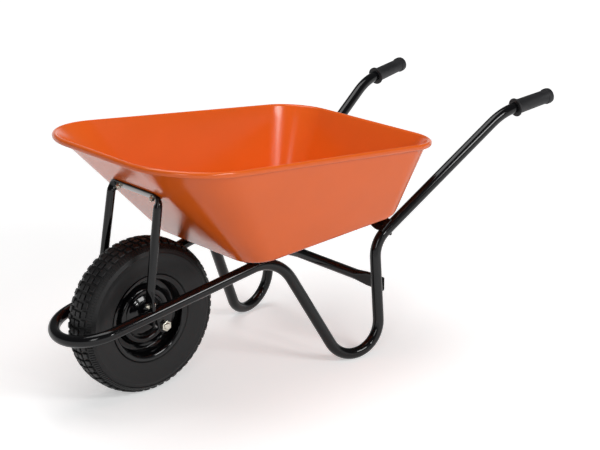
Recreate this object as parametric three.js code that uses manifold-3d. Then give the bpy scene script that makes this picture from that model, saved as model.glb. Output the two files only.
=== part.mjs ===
import * as THREE from 'three';
import { mergeVertices } from 'three/addons/utils/BufferGeometryUtils.js';
import Module from 'manifold-3d';

// A builder's wheelbarrow. Millimetres, +X from the wheel to the handles, +Z up.
// Left and right are those of the person who pushes it, so left is -Y.
// The sizes below are set by themselves, and every other size is worked out from them.

// Gaps
const clearance = 0.3;

// Wheel
const tyreRadius = 200;
const tyreHalfWidth = 48;
const tyreWall = 6;
const treadDepth = 5;
const blocksPerRow = 56;
const blockWidth = 13;
const blockGap = 4;
const blockShareOfPitch = 0.76;
const beadSeatRadius = 101.6;
const rimFlangeHeight = 12;
const rimHalfWidth = 40.7;
const rimSheet = 2;
const discRecess = 22;
const innerTubeWall = 2;
const valveRadius = 4;
const valveLength = 37;
const valveSide = 18;
const valveAboveSeat = 16;
const valveCapWall = 1;
const valveCapEnd = 1.5;
const valveCapLength = 10;
const hubRadius = 17;
const hubHalfLength = 72;
const hubWall = 2.5;
const bearingWidth = 12;
const axleRadius = 8;
const axleNutHeight = 10;
const axleNutSize = 24;
const axleBeyondNut = 3;
const spacerWall = 3;
const bracketSheet = 6;
const bracketRadius = 19;
const bracketTopWidth = 62;
const bracketIntoTube = 0.5;

// Frame tube: corner places of its left half, where its straight runs would meet
const tubeRadius = 15;
const tubeWall = 2;
const hoopFront = -237.5;
const hoopHalfWidth = 89.2;
const hoopHeight = 200.8;
const upperBendX = 326.1;
const upperBendHalfWidth = 142.4;
const upperBendHeight = 315.7;
const upperBendRadius = 101.5;
const footX = 599.9;
const footHalfWidth = 271;
const footRadius = 82.1;
const legTopX = 617.7;
const legTopHalfWidth = 202;
const legTopBelowBend = 12.4;
const legTopRadius = 84.7;
const handleBendX = 1037.9;
const handleBendHalfWidth = 268.6;
const handleRise = 300.1;
const handleBendRadius = 180;
const handleEndX = 1210.8;
const handleEndHalfWidth = 289.5;
const handleEndRise = 25.2;

// Pan: rim bead and floor
const panSheet = 1.5;
const beadRadius = 7.7;
const rimFrontX = -115.9;
const rimFrontHalfWidth = 318.8;
const rimFrontCorner = 189.2;
const rimRearX = 784.8;
const rimRearHalfWidth = 294.4;
const rimRearCorner = 116.9;
const floorFrontX = 195;
const floorFrontHalfWidth = 212.2;
const floorFrontCorner = 69;
const floorRearX = 681.3;
const floorRearHalfWidth = 229;
const floorRearCorner = 67.4;
const floorRounding = 24.7;
const floorSlope = 0.08102;
const floorAboveBend = 26;
const panFrontDepth = 298.4;
const panRearDepth = 187;

// Front stay
const stayRadius = 11;
const stayWall = 1.8;
const stayCornerRadius = 18;
const stayFootHalfWidth = 103.6;
const stayBelowRim = 109;
const stayFootX = -47;
const stayFlat = 5;
const stayBoltHalfSpacing = 70;
const stayCornerBeyondBolt = 26.9;
const stayTopHalfWidth = stayBoltHalfSpacing + stayCornerBeyondBolt;
const stayBoltAbove = 10;
const stayFlatAboveBolt = 14;
const stayEasing = 28;
const lugSheet = 5;
const lugWidth = 26;
const lugAboveBolt = 11;

// Pan supports
const bearerWidth = 44;
const bearerLap = 16;
const bearerSheet = 3;
const studHalfSpacing = 85;
const strapWidth = 43;
const strapSheet = 4;
const strapFromCorner = 50;
const strapRise = 60;
const strapBeyondTube = 8;
const braceRadius = 15;
const braceHeight = 183;
const braceWall = 2;
const braceFlat = 12;
const braceBeyondTube = 2;
const bracePressed = 58;
const braceEasing = 42;

// Fasteners: an eight millimetre and a six millimetre size
const large = { radius: 4, size: 13, headHeight: 5.3, nutHeight: 6.5, domeRadius: 9.75 };
const small = { radius: 3, size: 10, headHeight: 4, nutHeight: 5, domeRadius: 7.5 };
const washerRadius = 8;
const washerSheet = 1.6;
const boltBeyondNut = 3;

// Grips
const gripLength = 134;
const gripRadius = 20.5;
const gripFlangeRadius = 26;
const gripFlangeWidth = 5;
const gripCollarRadius = 22;
const gripEndWall = 4;

const wasm = await Module();
wasm.setup();

const barrow = new THREE.Group();

const paint = (color, roughness, metalness) => ({ color, roughness, metalness });
const orangePaint = paint(0xe0672f, 0.3, 0);
const blackPaint = paint(0x141416, 0.25, 0);
const blackRubber = paint(0x232325, 0.8, 0);
const gripRubber = paint(0x2b2b2d, 0.7, 0);
const zinc = paint(0xb9b7b0, 0.35, 1);
const steel = paint(0x8f9194, 0.35, 1);

const vector = (x, y, z) => new THREE.Vector3(x, y, z);
const upward = vector(0, 0, 1);
const across = vector(0, 1, 0);
const direction = (from, to) => to.clone().sub(from).normalize();
const mirrored = (point) => vector(point.x, -point.y, point.z);

// Turns every face of a closed geometry outwards.
function facingOut(geometry) {
  const index = geometry.index.array;
  const places = geometry.attributes.position;
  const corner = (k) => new THREE.Vector3().fromBufferAttribute(places, index[k]);
  let volume = 0;
  for (let k = 0; k < index.length; k += 3) {
    volume += corner(k).dot(corner(k + 1).cross(corner(k + 2)));
  }
  if (volume < 0) {
    index.reverse();
  }
  return geometry;
}

// A skin over rings of equally many points, closed at both ends.
function loft(rings) {
  const count = rings[0].length;
  const points = rings.flat();
  const index = [];
  for (let r = 0; r < rings.length - 1; r++) {
    for (let k = 0; k < count; k++) {
      const a = r * count + k;
      const b = r * count + ((k + 1) % count);
      index.push(a, b, a + count, b, b + count, a + count);
    }
  }
  for (const first of [0, (rings.length - 1) * count]) {
    const middle = points.length;
    points.push(ringCentre(points.slice(first, first + count)));
    for (let k = 0; k < count; k++) {
      const pair = [first + k, first + ((k + 1) % count)];
      index.push(middle, ...(first === 0 ? pair.reverse() : pair));
    }
  }
  const geometry = new THREE.BufferGeometry().setFromPoints(points);
  geometry.setIndex(index);
  return facingOut(geometry);
}

function ringCentre(ring) {
  const sum = ring.reduce((total, point) => total.add(point), vector(0, 0, 0));
  return sum.divideScalar(ring.length);
}

function toManifold(geometry) {
  const bare = geometry.clone();
  bare.deleteAttribute('normal');
  bare.deleteAttribute('uv');
  const merged = mergeVertices(bare, 1e-4);
  const vertProperties = new Float32Array(merged.attributes.position.array);
  const triVerts = new Uint32Array(merged.index.array);
  return new wasm.Manifold(new wasm.Mesh({ numProp: 3, vertProperties, triVerts }));
}

function fromManifold(solid) {
  const mesh = solid.getMesh();
  const geometry = new THREE.BufferGeometry();
  geometry.setAttribute('position', new THREE.BufferAttribute(mesh.vertProperties, 3));
  geometry.setIndex(new THREE.BufferAttribute(mesh.triVerts, 1));
  return geometry;
}

function join(...geometries) {
  const solids = geometries.map(toManifold);
  return fromManifold(solids.reduce((whole, solid) => whole.add(solid)));
}

function cut(geometry, ...tools) {
  const solids = tools.map(toManifold);
  return fromManifold(solids.reduce((whole, tool) => whole.subtract(tool), toManifold(geometry)));
}

// A rod around +Z from the origin, laid from a place along a direction.
function rod(radius, length, from, along, segments = 16) {
  const geometry = new THREE.CylinderGeometry(radius, radius, length, segments);
  geometry.rotateX(Math.PI / 2);
  geometry.translate(0, 0, length / 2);
  return laid(geometry, from, along);
}

function laid(geometry, from, along) {
  geometry.applyQuaternion(new THREE.Quaternion().setFromUnitVectors(upward, along));
  geometry.translate(from.x, from.y, from.z);
  return geometry;
}

function add(name, geometry, finish, parent = barrow) {
  geometry.computeVertexNormals();
  const mesh = new THREE.Mesh(geometry, new THREE.MeshStandardMaterial(finish));
  mesh.name = name;
  parent.add(mesh);
  return mesh;
}

// Points and headings along the arc that rounds one corner of a line.
function cornerArc(before, corner, after, radius, stepAngle) {
  const back = direction(corner, before);
  const ahead = direction(corner, after);
  const half = back.angleTo(ahead) / 2;
  const turn = Math.PI - 2 * half;
  const steps = Math.max(2, Math.ceil(turn / stepAngle));
  const inward = back.clone().add(ahead).normalize();
  const centre = corner.clone().addScaledVector(inward, radius / Math.sin(half));
  const start = corner.clone().addScaledVector(back, radius / Math.tan(half)).sub(centre);
  const axis = back.clone().negate().cross(ahead).normalize();
  const stations = [];
  for (let k = 0; k <= steps; k++) {
    const spin = new THREE.Quaternion().setFromAxisAngle(axis, (turn * k) / steps);
    stations.push({
      point: start.clone().applyQuaternion(spin).add(centre),
      heading: back.clone().negate().applyQuaternion(spin),
    });
  }
  return stations;
}

function bentLine(corners, radii, stepAngle) {
  const last = corners.length - 1;
  const stations = [{ point: corners[0], heading: direction(corners[0], corners[1]) }];
  for (let i = 1; i < last; i++) {
    stations.push(...cornerArc(corners[i - 1], corners[i], corners[i + 1], radii[i - 1], stepAngle));
  }
  stations.push({ point: corners[last], heading: direction(corners[last - 1], corners[last]) });
  return stations;
}

// A curve that stops exactly at the stations of a bent line.
class StationCurve extends THREE.Curve {
  constructor(stations) {
    super();
    this.stations = stations;
  }

  station(share) {
    return this.stations[Math.round(share * (this.stations.length - 1))];
  }

  getPoint(share, target = new THREE.Vector3()) {
    return target.copy(this.station(share).point);
  }

  getPointAt(share, target = new THREE.Vector3()) {
    return this.getPoint(share, target);
  }

  getTangentAt(share, target = new THREE.Vector3()) {
    return target.copy(this.station(share).heading);
  }
}

function circle(radius, segments) {
  const points = [];
  for (let k = 0; k < segments; k++) {
    const angle = (2 * Math.PI * (k + 0.5)) / segments;
    points.push(new THREE.Vector2(radius * Math.cos(angle), radius * Math.sin(angle)));
  }
  return points;
}

function ringShape(radius, bore, segments, boreSegments = segments) {
  const shape = new THREE.Shape(circle(radius, segments));
  shape.holes.push(new THREE.Path(circle(bore, boreSegments)));
  return shape;
}

function sweep(shape, stations) {
  const steps = stations.length - 1;
  return new THREE.ExtrudeGeometry(shape, { steps, extrudePath: new StationCurve(stations) });
}

// Frame tube

const footStepAngle = Math.PI / 12;

function lowestPoint(corners) {
  const arc = cornerArc(...corners, footRadius, footStepAngle);
  return Math.min(...arc.map((station) => station.point.z));
}

// The foot's corner is as low as it takes for the tube to rest on the ground.
function footCorner(upperBend, legTop) {
  const corner = vector(footX, -footHalfWidth, -footRadius);
  for (let pass = 0; pass < 40; pass++) {
    corner.z += tubeRadius - lowestPoint([upperBend, corner, legTop]);
  }
  return corner;
}

const legTopHeight = upperBendHeight - legTopBelowBend;
const handleBendHeight = legTopHeight + handleRise;
const handleEndHeight = handleBendHeight + handleEndRise;

const upperBend = vector(upperBendX, -upperBendHalfWidth, upperBendHeight);
const legTop = vector(legTopX, -legTopHalfWidth, legTopHeight);
const foot = footCorner(upperBend, legTop);
const handleBend = vector(handleBendX, -handleBendHalfWidth, handleBendHeight);
const handleEnd = vector(handleEndX, -handleEndHalfWidth, handleEndHeight);
const hoopCorner = vector(hoopFront, -hoopHalfWidth, hoopHeight);
const hoopMiddle = vector(hoopFront, 0, hoopHeight);
const hoopTurn = direction(upperBend, hoopCorner).angleTo(across);
const hoopRadius = hoopHalfWidth / Math.tan(hoopTurn / 2);

const leftCorners = [handleEnd, handleBend, legTop, foot, upperBend, hoopCorner];
const leftRadii = [handleBendRadius, legTopRadius, footRadius, upperBendRadius, hoopRadius];

function frameStations() {
  const half = bentLine([...leftCorners, hoopMiddle], leftRadii, footStepAngle).slice(0, -1);
  const other = half.slice(0, -1).map(({ point, heading }) => ({
    point: mirrored(point),
    heading: vector(-heading.x, heading.y, -heading.z),
  }));
  return [...half, ...other.reverse()];
}

const framePath = frameStations();

// The tube as a solid rod, thicker all round by a gap, for cutting what fits against it.
function frameRod(gap, segments = 14) {
  const outer = (tubeRadius + gap) / Math.cos(Math.PI / segments);
  return sweep(new THREE.Shape(circle(outer, segments)), framePath);
}

// Left-side place on the tube's centre line with the given X, on one straight run.
function onRun(from, to, x) {
  return from.clone().lerp(to, (x - from.x) / (to.x - from.x));
}

// Axle line

const axleHeight = tyreRadius;
const axlePlace = vector(0, 0, axleHeight);
const tubeAtAxle = onRun(hoopCorner, upperBend, 0);
const bracketOuterFace = -tubeAtAxle.y - tubeRadius + bracketIntoTube;
const bracketInnerFace = bracketOuterFace - bracketSheet;

function bracketPlate() {
  const plate = new THREE.Shape();
  const top = tubeAtAxle.z - axleHeight + tubeRadius / 2;
  plate.moveTo(-bracketTopWidth / 2, top);
  plate.lineTo(-bracketRadius, 0);
  plate.absarc(0, 0, bracketRadius, Math.PI, 2 * Math.PI, false);
  plate.lineTo(bracketTopWidth / 2, top);
  plate.closePath();
  plate.holes.push(new THREE.Path(circle(axleRadius + clearance, 16)));
  const geometry = new THREE.ExtrudeGeometry(plate, {
    depth: bracketSheet, bevelEnabled: false, curveSegments: 10,
  });
  geometry.rotateX(Math.PI / 2);
  geometry.translate(0, -bracketInnerFace, axleHeight);
  return geometry;
}

// Hexagonal prism with a bore, standing on the origin along +Z.
function hexNut(size, height, bore) {
  const shape = new THREE.Shape(circle(size / Math.sqrt(3), 6));
  shape.holes.push(new THREE.Path(circle(bore, 12)));
  return new THREE.ExtrudeGeometry(shape, { depth: height, bevelEnabled: false });
}

function washer(radius, bore, sheet) {
  return new THREE.ExtrudeGeometry(ringShape(radius, bore, 16), { depth: sheet, bevelEnabled: false });
}

// Hexagon bolt: head below the origin, shank along +Z.
function hexBolt(kind, length) {
  const head = new THREE.ExtrudeGeometry(new THREE.Shape(circle(kind.size / Math.sqrt(3), 6)), {
    depth: kind.headHeight, bevelEnabled: false,
  });
  head.translate(0, 0, -kind.headHeight);
  const overlap = kind.headHeight / 2;
  const shank = rod(kind.radius, length + overlap, vector(0, 0, -overlap), upward, 12);
  return join(head, shank);
}

// Round-headed bolt: low dome below the origin, shank along +Z.
function domeBolt(kind, length) {
  const { domeRadius, headHeight } = kind;
  const profile = [
    [0, -headHeight * 0.7], [domeRadius * 0.6, -headHeight * 0.5], [domeRadius, 0],
    [kind.radius, 0], [kind.radius, length], [0, length],
  ];
  const geometry = latheOf(profile, 14);
  geometry.rotateX(Math.PI / 2);
  return geometry;
}

function latheOf(profile, segments) {
  const points = profile.map(([radius, along]) => new THREE.Vector2(radius, along));
  return facingOut(new THREE.LatheGeometry(points, segments));
}

// A profile of radius and distance from the middle, turned around the wheel's axle.
function turned(profile, segments) {
  const geometry = latheOf(profile, segments);
  geometry.translate(0, 0, axleHeight);
  return geometry;
}

const wheelSegments = 32;
const flangeRadius = beadSeatRadius + rimFlangeHeight;
const tyreBase = tyreRadius - treadDepth;

// The crown is a flat band under the inner rows of blocks, and a leaning band under the outer rows.
const crownHalfWidth = blockWidth + 1.5 * blockGap;
const shoulderDrop = 6;
const shoulderSide = crownHalfWidth + blockWidth + 2 * blockGap;
const beadSide = rimHalfWidth - rimSheet - clearance - 5;
const sidewallMiddle = (flangeRadius + tyreBase) / 2;

// Outline of the tyre's outside from bead to crown on one side: radius and distance from the middle.
function tyreOutside() {
  return [
    [beadSeatRadius + clearance, beadSide],
    [flangeRadius - 2, beadSide],
    [flangeRadius + 8, tyreHalfWidth - 5],
    [sidewallMiddle - 10, tyreHalfWidth - 0.5],
    [sidewallMiddle + 12, tyreHalfWidth],
    [tyreBase - shoulderDrop - 9, tyreHalfWidth - 4],
    [tyreBase - shoulderDrop, shoulderSide],
    [tyreBase, crownHalfWidth],
  ];
}

function tyreInside() {
  return [
    [tyreBase - tyreWall, crownHalfWidth],
    [tyreBase - shoulderDrop - tyreWall - 3, shoulderSide - 2],
    [sidewallMiddle + 8, tyreHalfWidth - tyreWall],
    [sidewallMiddle - 12, tyreHalfWidth - tyreWall - 1],
    [flangeRadius + 6, beadSide - tyreWall - 1],
    [beadSeatRadius + clearance, beadSide - 10],
  ];
}

const otherSide = (profile) => profile.map(([radius, side]) => [radius, -side]).reverse();

// The carcass has one facet under each block.
function tyreCarcass() {
  const outside = tyreOutside();
  const inside = tyreInside();
  const loop = [...outside, ...otherSide(outside), ...otherSide(inside), ...inside, outside[0]];
  return turned(loop, blocksPerRow);
}

// One row of tread blocks: radius and distance from the middle of its base, and its lean.
function treadRow(radius, side, lean) {
  const pitch = (2 * Math.PI) / blocksPerRow;
  const facetRadius = radius * Math.cos(pitch / 2);
  const length = radius * pitch * blockShareOfPitch;
  const root = tyreWall / 2;
  const blocks = [];
  for (let k = 0; k < blocksPerRow; k++) {
    const block = new THREE.BoxGeometry(length, blockWidth, treadDepth + root);
    block.translate(0, 0, (treadDepth - root) / 2);
    block.rotateX(-lean);
    block.translate(0, side, facetRadius);
    block.rotateY((k + 0.5) * pitch);
    block.translate(0, 0, axleHeight);
    blocks.push(toManifold(block));
  }
  return blocks;
}

function tyre() {
  const shoulderLean = Math.atan(shoulderDrop / (shoulderSide - crownHalfWidth));
  const shoulderMiddle = (shoulderSide + crownHalfWidth) / 2;
  const rows = [];
  for (const hand of [-1, 1]) {
    rows.push(...treadRow(tyreBase, hand * (blockWidth + blockGap) / 2, 0));
    rows.push(...treadRow(tyreBase - shoulderDrop / 2, hand * shoulderMiddle, hand * shoulderLean));
  }
  const blocks = rows.reduce((whole, block) => whole.add(block));
  return fromManifold(toManifold(tyreCarcass()).add(blocks));
}

// Half rim of pressed sheet: flange, bead seat, well, then a dished disc with a raised ring.
function halfRimFace() {
  const hubHole = hubRadius + clearance;
  const seam = clearance / 2 + rimSheet / 2;
  return [
    [hubHole, discRecess + 3],
    [hubHole + 12, discRecess + 1],
    [hubHole + 24, discRecess - 10],
    [hubHole + 34, discRecess - 9],
    [hubHole + 42, discRecess - 3],
    [hubHole + 53, discRecess - 5],
    [hubHole + 62, seam],
    [beadSeatRadius - 8, seam],
    [beadSeatRadius - rimSheet / 2, seam + 9],
    [beadSeatRadius - rimSheet / 2, rimHalfWidth - 6],
    [beadSeatRadius + 4, rimHalfWidth - 2.5],
    [flangeRadius - 1, rimHalfWidth - 1],
  ];
}

// Thickens an open profile to a closed one, by half the sheet on each side.
function sheetProfile(line, sheet) {
  const sides = [1, -1].map((hand) => line.map((point, i) => {
    const before = line[Math.max(i - 1, 0)];
    const after = line[Math.min(i + 1, line.length - 1)];
    const run = Math.hypot(after[0] - before[0], after[1] - before[1]);
    const normal = [-(after[1] - before[1]) / run, (after[0] - before[0]) / run];
    return [point[0] + (hand * normal[0] * sheet) / 2, point[1] + (hand * normal[1] * sheet) / 2];
  }));
  const loop = [...sides[0], ...sides[1].reverse()];
  return [...loop, loop[0]];
}

const valveTop = vector(0, valveSide, axleHeight + beadSeatRadius + valveAboveSeat);
const downward = vector(0, 0, -1);
const valveHole = () => rod(valveRadius + clearance, valveLength, valveTop, downward, 12);

function halfRim(hand) {
  const line = halfRimFace().map(([radius, side]) => [radius, hand * side]);
  const ordered = hand > 0 ? line : line.reverse();
  const face = turned(sheetProfile(ordered, rimSheet), wheelSegments);
  if (hand < 0) {
    return face;
  }
  return cut(face, valveHole());
}

// Section of the inner tube: an even polygon whose flats lie against the rim and the crown.
function innerTubeLoop(wall) {
  const steps = 8;
  const flat = Math.cos(Math.PI / steps);
  const middle = (beadSeatRadius + tyreBase - tyreWall) / 2;
  const halfHeight = ((tyreBase - tyreWall - beadSeatRadius) / 2 - clearance - wall) / flat;
  const halfWidth = tyreHalfWidth - tyreWall - 9 - wall;
  const loop = [];
  for (let k = 0; k < steps; k++) {
    const angle = (2 * Math.PI * (k + 0.5)) / steps;
    loop.push([middle + halfHeight * Math.cos(angle), halfWidth * Math.sin(angle)]);
  }
  return [...loop, loop[0]];
}

function innerTube() {
  const outside = turned(innerTubeLoop(0), wheelSegments);
  const inside = turned(innerTubeLoop(innerTubeWall), wheelSegments);
  return cut(outside, inside, valveHole());
}

function valveCap() {
  const tip = valveTop.clone().addScaledVector(downward, valveLength + clearance);
  const start = tip.clone().addScaledVector(downward, valveCapEnd - valveCapLength);
  const boreStart = start.clone().addScaledVector(downward, -valveCapEnd);
  const bore = valveRadius + clearance;
  return cut(
    rod(bore + valveCapWall, valveCapLength, start, downward, 12),
    rod(bore, valveCapLength, boreStart, downward, 12),
  );
}

function ringAlongAxle(radius, bore, width, start, segments = 20) {
  const geometry = new THREE.ExtrudeGeometry(ringShape(radius, bore, segments), {
    depth: width, bevelEnabled: false,
  });
  return laid(geometry, vector(0, start, axleHeight), across);
}

const bearingRadius = hubRadius - hubWall - clearance;
const axleBore = axleRadius + clearance;

function buildWheel() {
  add('tyre', tyre(), blackRubber);
  add('inner_tube', innerTube(), blackRubber);
  add('valve', rod(valveRadius, valveLength, valveTop, downward, 12), blackRubber);
  add('valve_cap', valveCap(), blackRubber);
  add('rim_left', halfRim(-1), blackPaint);
  add('rim_right', halfRim(1), blackPaint);
  const hub = ringAlongAxle(hubRadius, hubRadius - hubWall, 2 * hubHalfLength, -hubHalfLength);
  add('wheel_hub', hub, blackPaint);
  for (const [name, start] of [['left', -hubHalfLength], ['right', hubHalfLength - bearingWidth]]) {
    add(`wheel_bearing_${name}`, ringAlongAxle(bearingRadius, axleBore, bearingWidth, start), steel);
  }
}

function buildAxle() {
  const halfLength = bracketOuterFace + axleNutHeight + axleBeyondNut;
  add('axle', rod(axleRadius, 2 * halfLength, vector(0, -halfLength, axleHeight), across), zinc);
  const spacerStart = hubHalfLength + clearance;
  const spacerLength = bracketInnerFace - clearance - spacerStart;
  const rodInside = frameRod(clearance);
  for (const [name, hand] of [['left', -1], ['right', 1]]) {
    const outwards = vector(0, hand, 0);
    const plate = bracketPlate();
    if (hand > 0) {
      plate.rotateZ(Math.PI);
    }
    add(`axle_bracket_${name}`, cut(plate, rodInside), blackPaint);
    const nearEnd = hand > 0 ? spacerStart : -spacerStart - spacerLength;
    const spacer = ringAlongAxle(axleBore + spacerWall, axleBore, spacerLength, nearEnd);
    add(`axle_spacer_${name}`, spacer, zinc);
    const seat = vector(0, hand * (bracketOuterFace + clearance), axleHeight);
    add(`axle_nut_${name}`, laid(hexNut(axleNutSize, axleNutHeight, axleBore), seat, outwards), zinc);
  }
}

// Pan

// The top of the upper bends carries the pan, so the floor's height follows from it.
const crest = framePath.filter(({ point }) => point.y < 0 && point.x < footX && point.x > 0)
  .reduce((best, { point }) => (point.z > best.z ? point : best), vector(0, 0, 0));
const floorHeight = (x) => crest.z + tubeRadius + floorAboveBend + floorSlope * (x - crest.x);
const floorFrontHeight = floorHeight(floorFrontX);
const floorRearHeight = floorHeight(floorRearX);
const rimFrontHeight = floorFrontHeight + panFrontDepth;
const rimRearHeight = floorRearHeight + panRearDepth;
const stayTopHeight = rimFrontHeight - stayBelowRim;
const floorNormal = vector(-floorSlope, 0, 1).normalize();

function fourCorners(frontX, frontHalf, frontHeight, rearX, rearHalf, rearHeight) {
  return [
    vector(frontX, -frontHalf, frontHeight),
    vector(rearX, -rearHalf, rearHeight),
    vector(rearX, rearHalf, rearHeight),
    vector(frontX, frontHalf, frontHeight),
  ];
}

const rimCorners = fourCorners(
  rimFrontX, rimFrontHalfWidth, rimFrontHeight, rimRearX, rimRearHalfWidth, rimRearHeight,
);
const floorCorners = fourCorners(
  floorFrontX, floorFrontHalfWidth, floorFrontHeight + floorRounding,
  floorRearX, floorRearHalfWidth, floorRearHeight + floorRounding,
);

// Upright plane through a floor place and a rim place, and how the wall between them leans.
function wallPlane(low, high) {
  const out = vector(high.x - low.x, high.y - low.y, 0).normalize();
  const reach = new THREE.Vector2(high.clone().sub(low).dot(out), high.z - low.z);
  const lean = reach.angle() - Math.acos((floorRounding + beadRadius - panSheet) / reach.length());
  const at = (centre, radius, angle) => centre.clone()
    .addScaledVector(out, radius * Math.cos(angle))
    .addScaledVector(upward, radius * Math.sin(angle));
  return { out, lean, at };
}

const rollEnd = (-135 * Math.PI) / 180;

// The sheet's section from the floor up its inside, round the rolled bead and down its outside.
function panSection(low, high) {
  const { lean, at } = wallPlane(low, high);
  const arc = (centre, radius, from, to, steps) => {
    const points = [];
    for (let k = 0; k <= steps; k++) {
      points.push(at(centre, radius, from + ((to - from) * k) / steps));
    }
    return points;
  };
  return [
    ...arc(low, floorRounding - panSheet, -Math.PI / 2, lean, 4),
    ...arc(high, beadRadius, lean + Math.PI, rollEnd, 7),
    ...arc(high, beadRadius - panSheet, rollEnd, lean + Math.PI, 7),
    ...arc(low, floorRounding, lean, -Math.PI / 2, 4),
  ];
}

function panShell() {
  const rim = evenOutline(rimCorners, rimFrontCorner, rimRearCorner);
  const floor = evenOutline(floorCorners, floorFrontCorner, floorRearCorner);
  const sections = floor.map((low, i) => panSection(low, rim[i]));
  return loft(sections[0].map((_, k) => sections.map((section) => section[k])));
}

// Outline with the same number of points on every corner, whatever its turn.
function evenOutline(corners, frontRadius, rearRadius) {
  const stepsPerCorner = 6;
  const radii = [frontRadius, rearRadius, rearRadius, frontRadius];
  const count = corners.length;
  return corners.flatMap((corner, i) => {
    const before = corners[(i + count - 1) % count];
    const after = corners[(i + 1) % count];
    const turn = Math.PI - direction(corner, before).angleTo(direction(corner, after));
    const arc = cornerArc(before, corner, after, radii[i], turn / (stepsPerCorner - 0.5));
    return arc.map((station) => station.point);
  });
}

// Front wall at the middle of the pan: a place on its outer face and its outward normal.
const frontWall = wallPlane(
  vector(floorFrontX, 0, floorFrontHeight + floorRounding),
  vector(rimFrontX, 0, rimFrontHeight),
);
const frontNormal = frontWall.at(vector(0, 0, 0), 1, frontWall.lean);
const frontFloor = vector(floorFrontX, 0, floorFrontHeight + floorRounding);
const frontFoot = frontWall.at(frontFloor, floorRounding, frontWall.lean);
const frontUp = across.clone().cross(frontNormal);

function onFrontWall(y, z) {
  const rise = (z - frontFoot.z) / frontUp.z;
  return frontFoot.clone().addScaledVector(frontUp, rise).add(vector(0, y, 0));
}

// Front stay

const tubeAtStay = onRun(hoopCorner, upperBend, stayFootX);
const tubeTopAtStay = tubeAtStay.z + tubeRadius;
const stayTop = onFrontWall(0, stayTopHeight).addScaledVector(frontNormal, clearance + stayRadius);
const stayFootPoint = () => vector(stayFootX, -stayFootHalfWidth, tubeTopAtStay);
const stayKnee = stayFootPoint().add(vector(0, 0, stayBoltAbove + stayFlatAboveBolt));
const stayCorner = vector(stayTop.x, -stayTopHalfWidth, stayTop.z);
const stayBoltPlace = vector(stayFootX, -stayFootHalfWidth, tubeTopAtStay + stayBoltAbove);

// Section of a round tube pressed towards a flat bar of the same girth.
function pressedRing(centre, wide, thin, radius, thickness, count) {
  const width = thickness + (Math.PI * (2 * radius - thickness)) / 2;
  const shift = (width - thickness) / 2;
  const ring = [];
  for (let k = 0; k < count; k++) {
    const angle = (2 * Math.PI * (k + 0.5)) / count;
    const sideways = (thickness / 2) * Math.cos(angle) + Math.sign(Math.cos(angle)) * shift;
    ring.push(centre.clone()
      .addScaledVector(wide, sideways)
      .addScaledVector(thin, (thickness / 2) * Math.sin(angle)));
  }
  return ring;
}

const ease = (share) => share * share * (3 - 2 * share);

// Stations of the stay's left half, from its flat foot to where its flat top begins.
function stayStations() {
  const up = direction(stayKnee, stayCorner);
  const forward = up.clone().cross(across).normalize();
  const ahead = vector(-1, 0, 0);
  const legPoint = (distance) => stayKnee.clone().addScaledVector(up, distance);
  const round = 2 * stayRadius;
  const halfPressed = stayFlat + (round - stayFlat) * ease(0.5);
  return [
    { point: stayFootPoint(), heading: upward, thin: ahead, thickness: stayFlat },
    { point: stayKnee, heading: upward, thin: ahead, thickness: stayFlat },
    { point: legPoint(stayEasing / 2), heading: up, thin: forward, thickness: halfPressed },
    { point: legPoint(stayEasing), heading: up, thin: forward, thickness: round },
    ...stayCornerStations(forward),
  ];
}

// The corner is pressed more and more towards the pan's front wall, and clears it all the way.
function stayCornerStations(forward) {
  const middle = vector(stayTop.x, 0, stayTop.z);
  const arc = cornerArc(stayKnee, stayCorner, middle, stayCornerRadius, Math.PI / 10);
  return arc.map(({ point, heading }, k) => {
    const pressed = ease(k / (arc.length - 1));
    const thickness = 2 * stayRadius + pressed * (stayFlat - 2 * stayRadius);
    const thin = forward.clone().lerp(frontNormal, pressed).normalize();
    const station = { point, heading, thin, thickness };
    const gaps = stayRing(station, 0).map((place) => place.sub(frontFoot).dot(frontNormal));
    const shift = Math.max(clearance - Math.min(...gaps), pressed * (stayFlat / 2 - stayRadius));
    point.addScaledVector(frontNormal, shift);
    return station;
  });
}

function stayRing({ point, heading, thin, thickness }, wall) {
  const flatThin = thin.clone().addScaledVector(heading, -thin.dot(heading)).normalize();
  const wide = flatThin.clone().cross(heading);
  return pressedRing(point, wide, flatThin, stayRadius - wall, thickness - 2 * wall, 12);
}

// The inside runs out through the open end of each foot.
function stayRings(wall) {
  const half = stayStations();
  half[0].point.z -= wall;
  const left = half.map((station) => stayRing(station, wall));
  const right = left.map((ring) => ring.map(mirrored));
  return [...left, ...right.reverse()];
}

// The space that a bolt needs on both sides of a place on its line.
function boltHole(kind, place, heading, reach = 20) {
  const start = place.clone().addScaledVector(heading, -reach);
  return rod(kind.radius + clearance, 2 * reach, start, heading, 12);
}

const wallBoltHoles = () => [-1, 1].map((hand) => (
  boltHole(large, onFrontWall(hand * stayBoltHalfSpacing, stayTopHeight), frontNormal)
));

const footBoltHole = (hand) => (
  boltHole(large, vector(stayFootX, hand * stayFootHalfWidth, stayBoltPlace.z), vector(1, 0, 0))
);

function frontStay() {
  const tube = cut(loft(stayRings(0)), loft(stayRings(stayWall)), frameRod(clearance));
  return cut(tube, ...wallBoltHoles(), footBoltHole(-1), footBoltHole(1));
}

// Upright plate behind the stay's flattened foot, coped to the top of the frame tube.
function stayLug(hand, rodInside) {
  const faceX = stayFootX + stayFlat / 2 + clearance;
  const height = stayBoltAbove + lugAboveBolt;
  const plate = new THREE.BoxGeometry(lugSheet, lugWidth, height + tubeRadius);
  plate.translate(faceX + lugSheet / 2, hand * stayFootHalfWidth, tubeTopAtStay + (height - tubeRadius) / 2);
  return cut(plate, rodInside, footBoltHole(hand));
}

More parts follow.
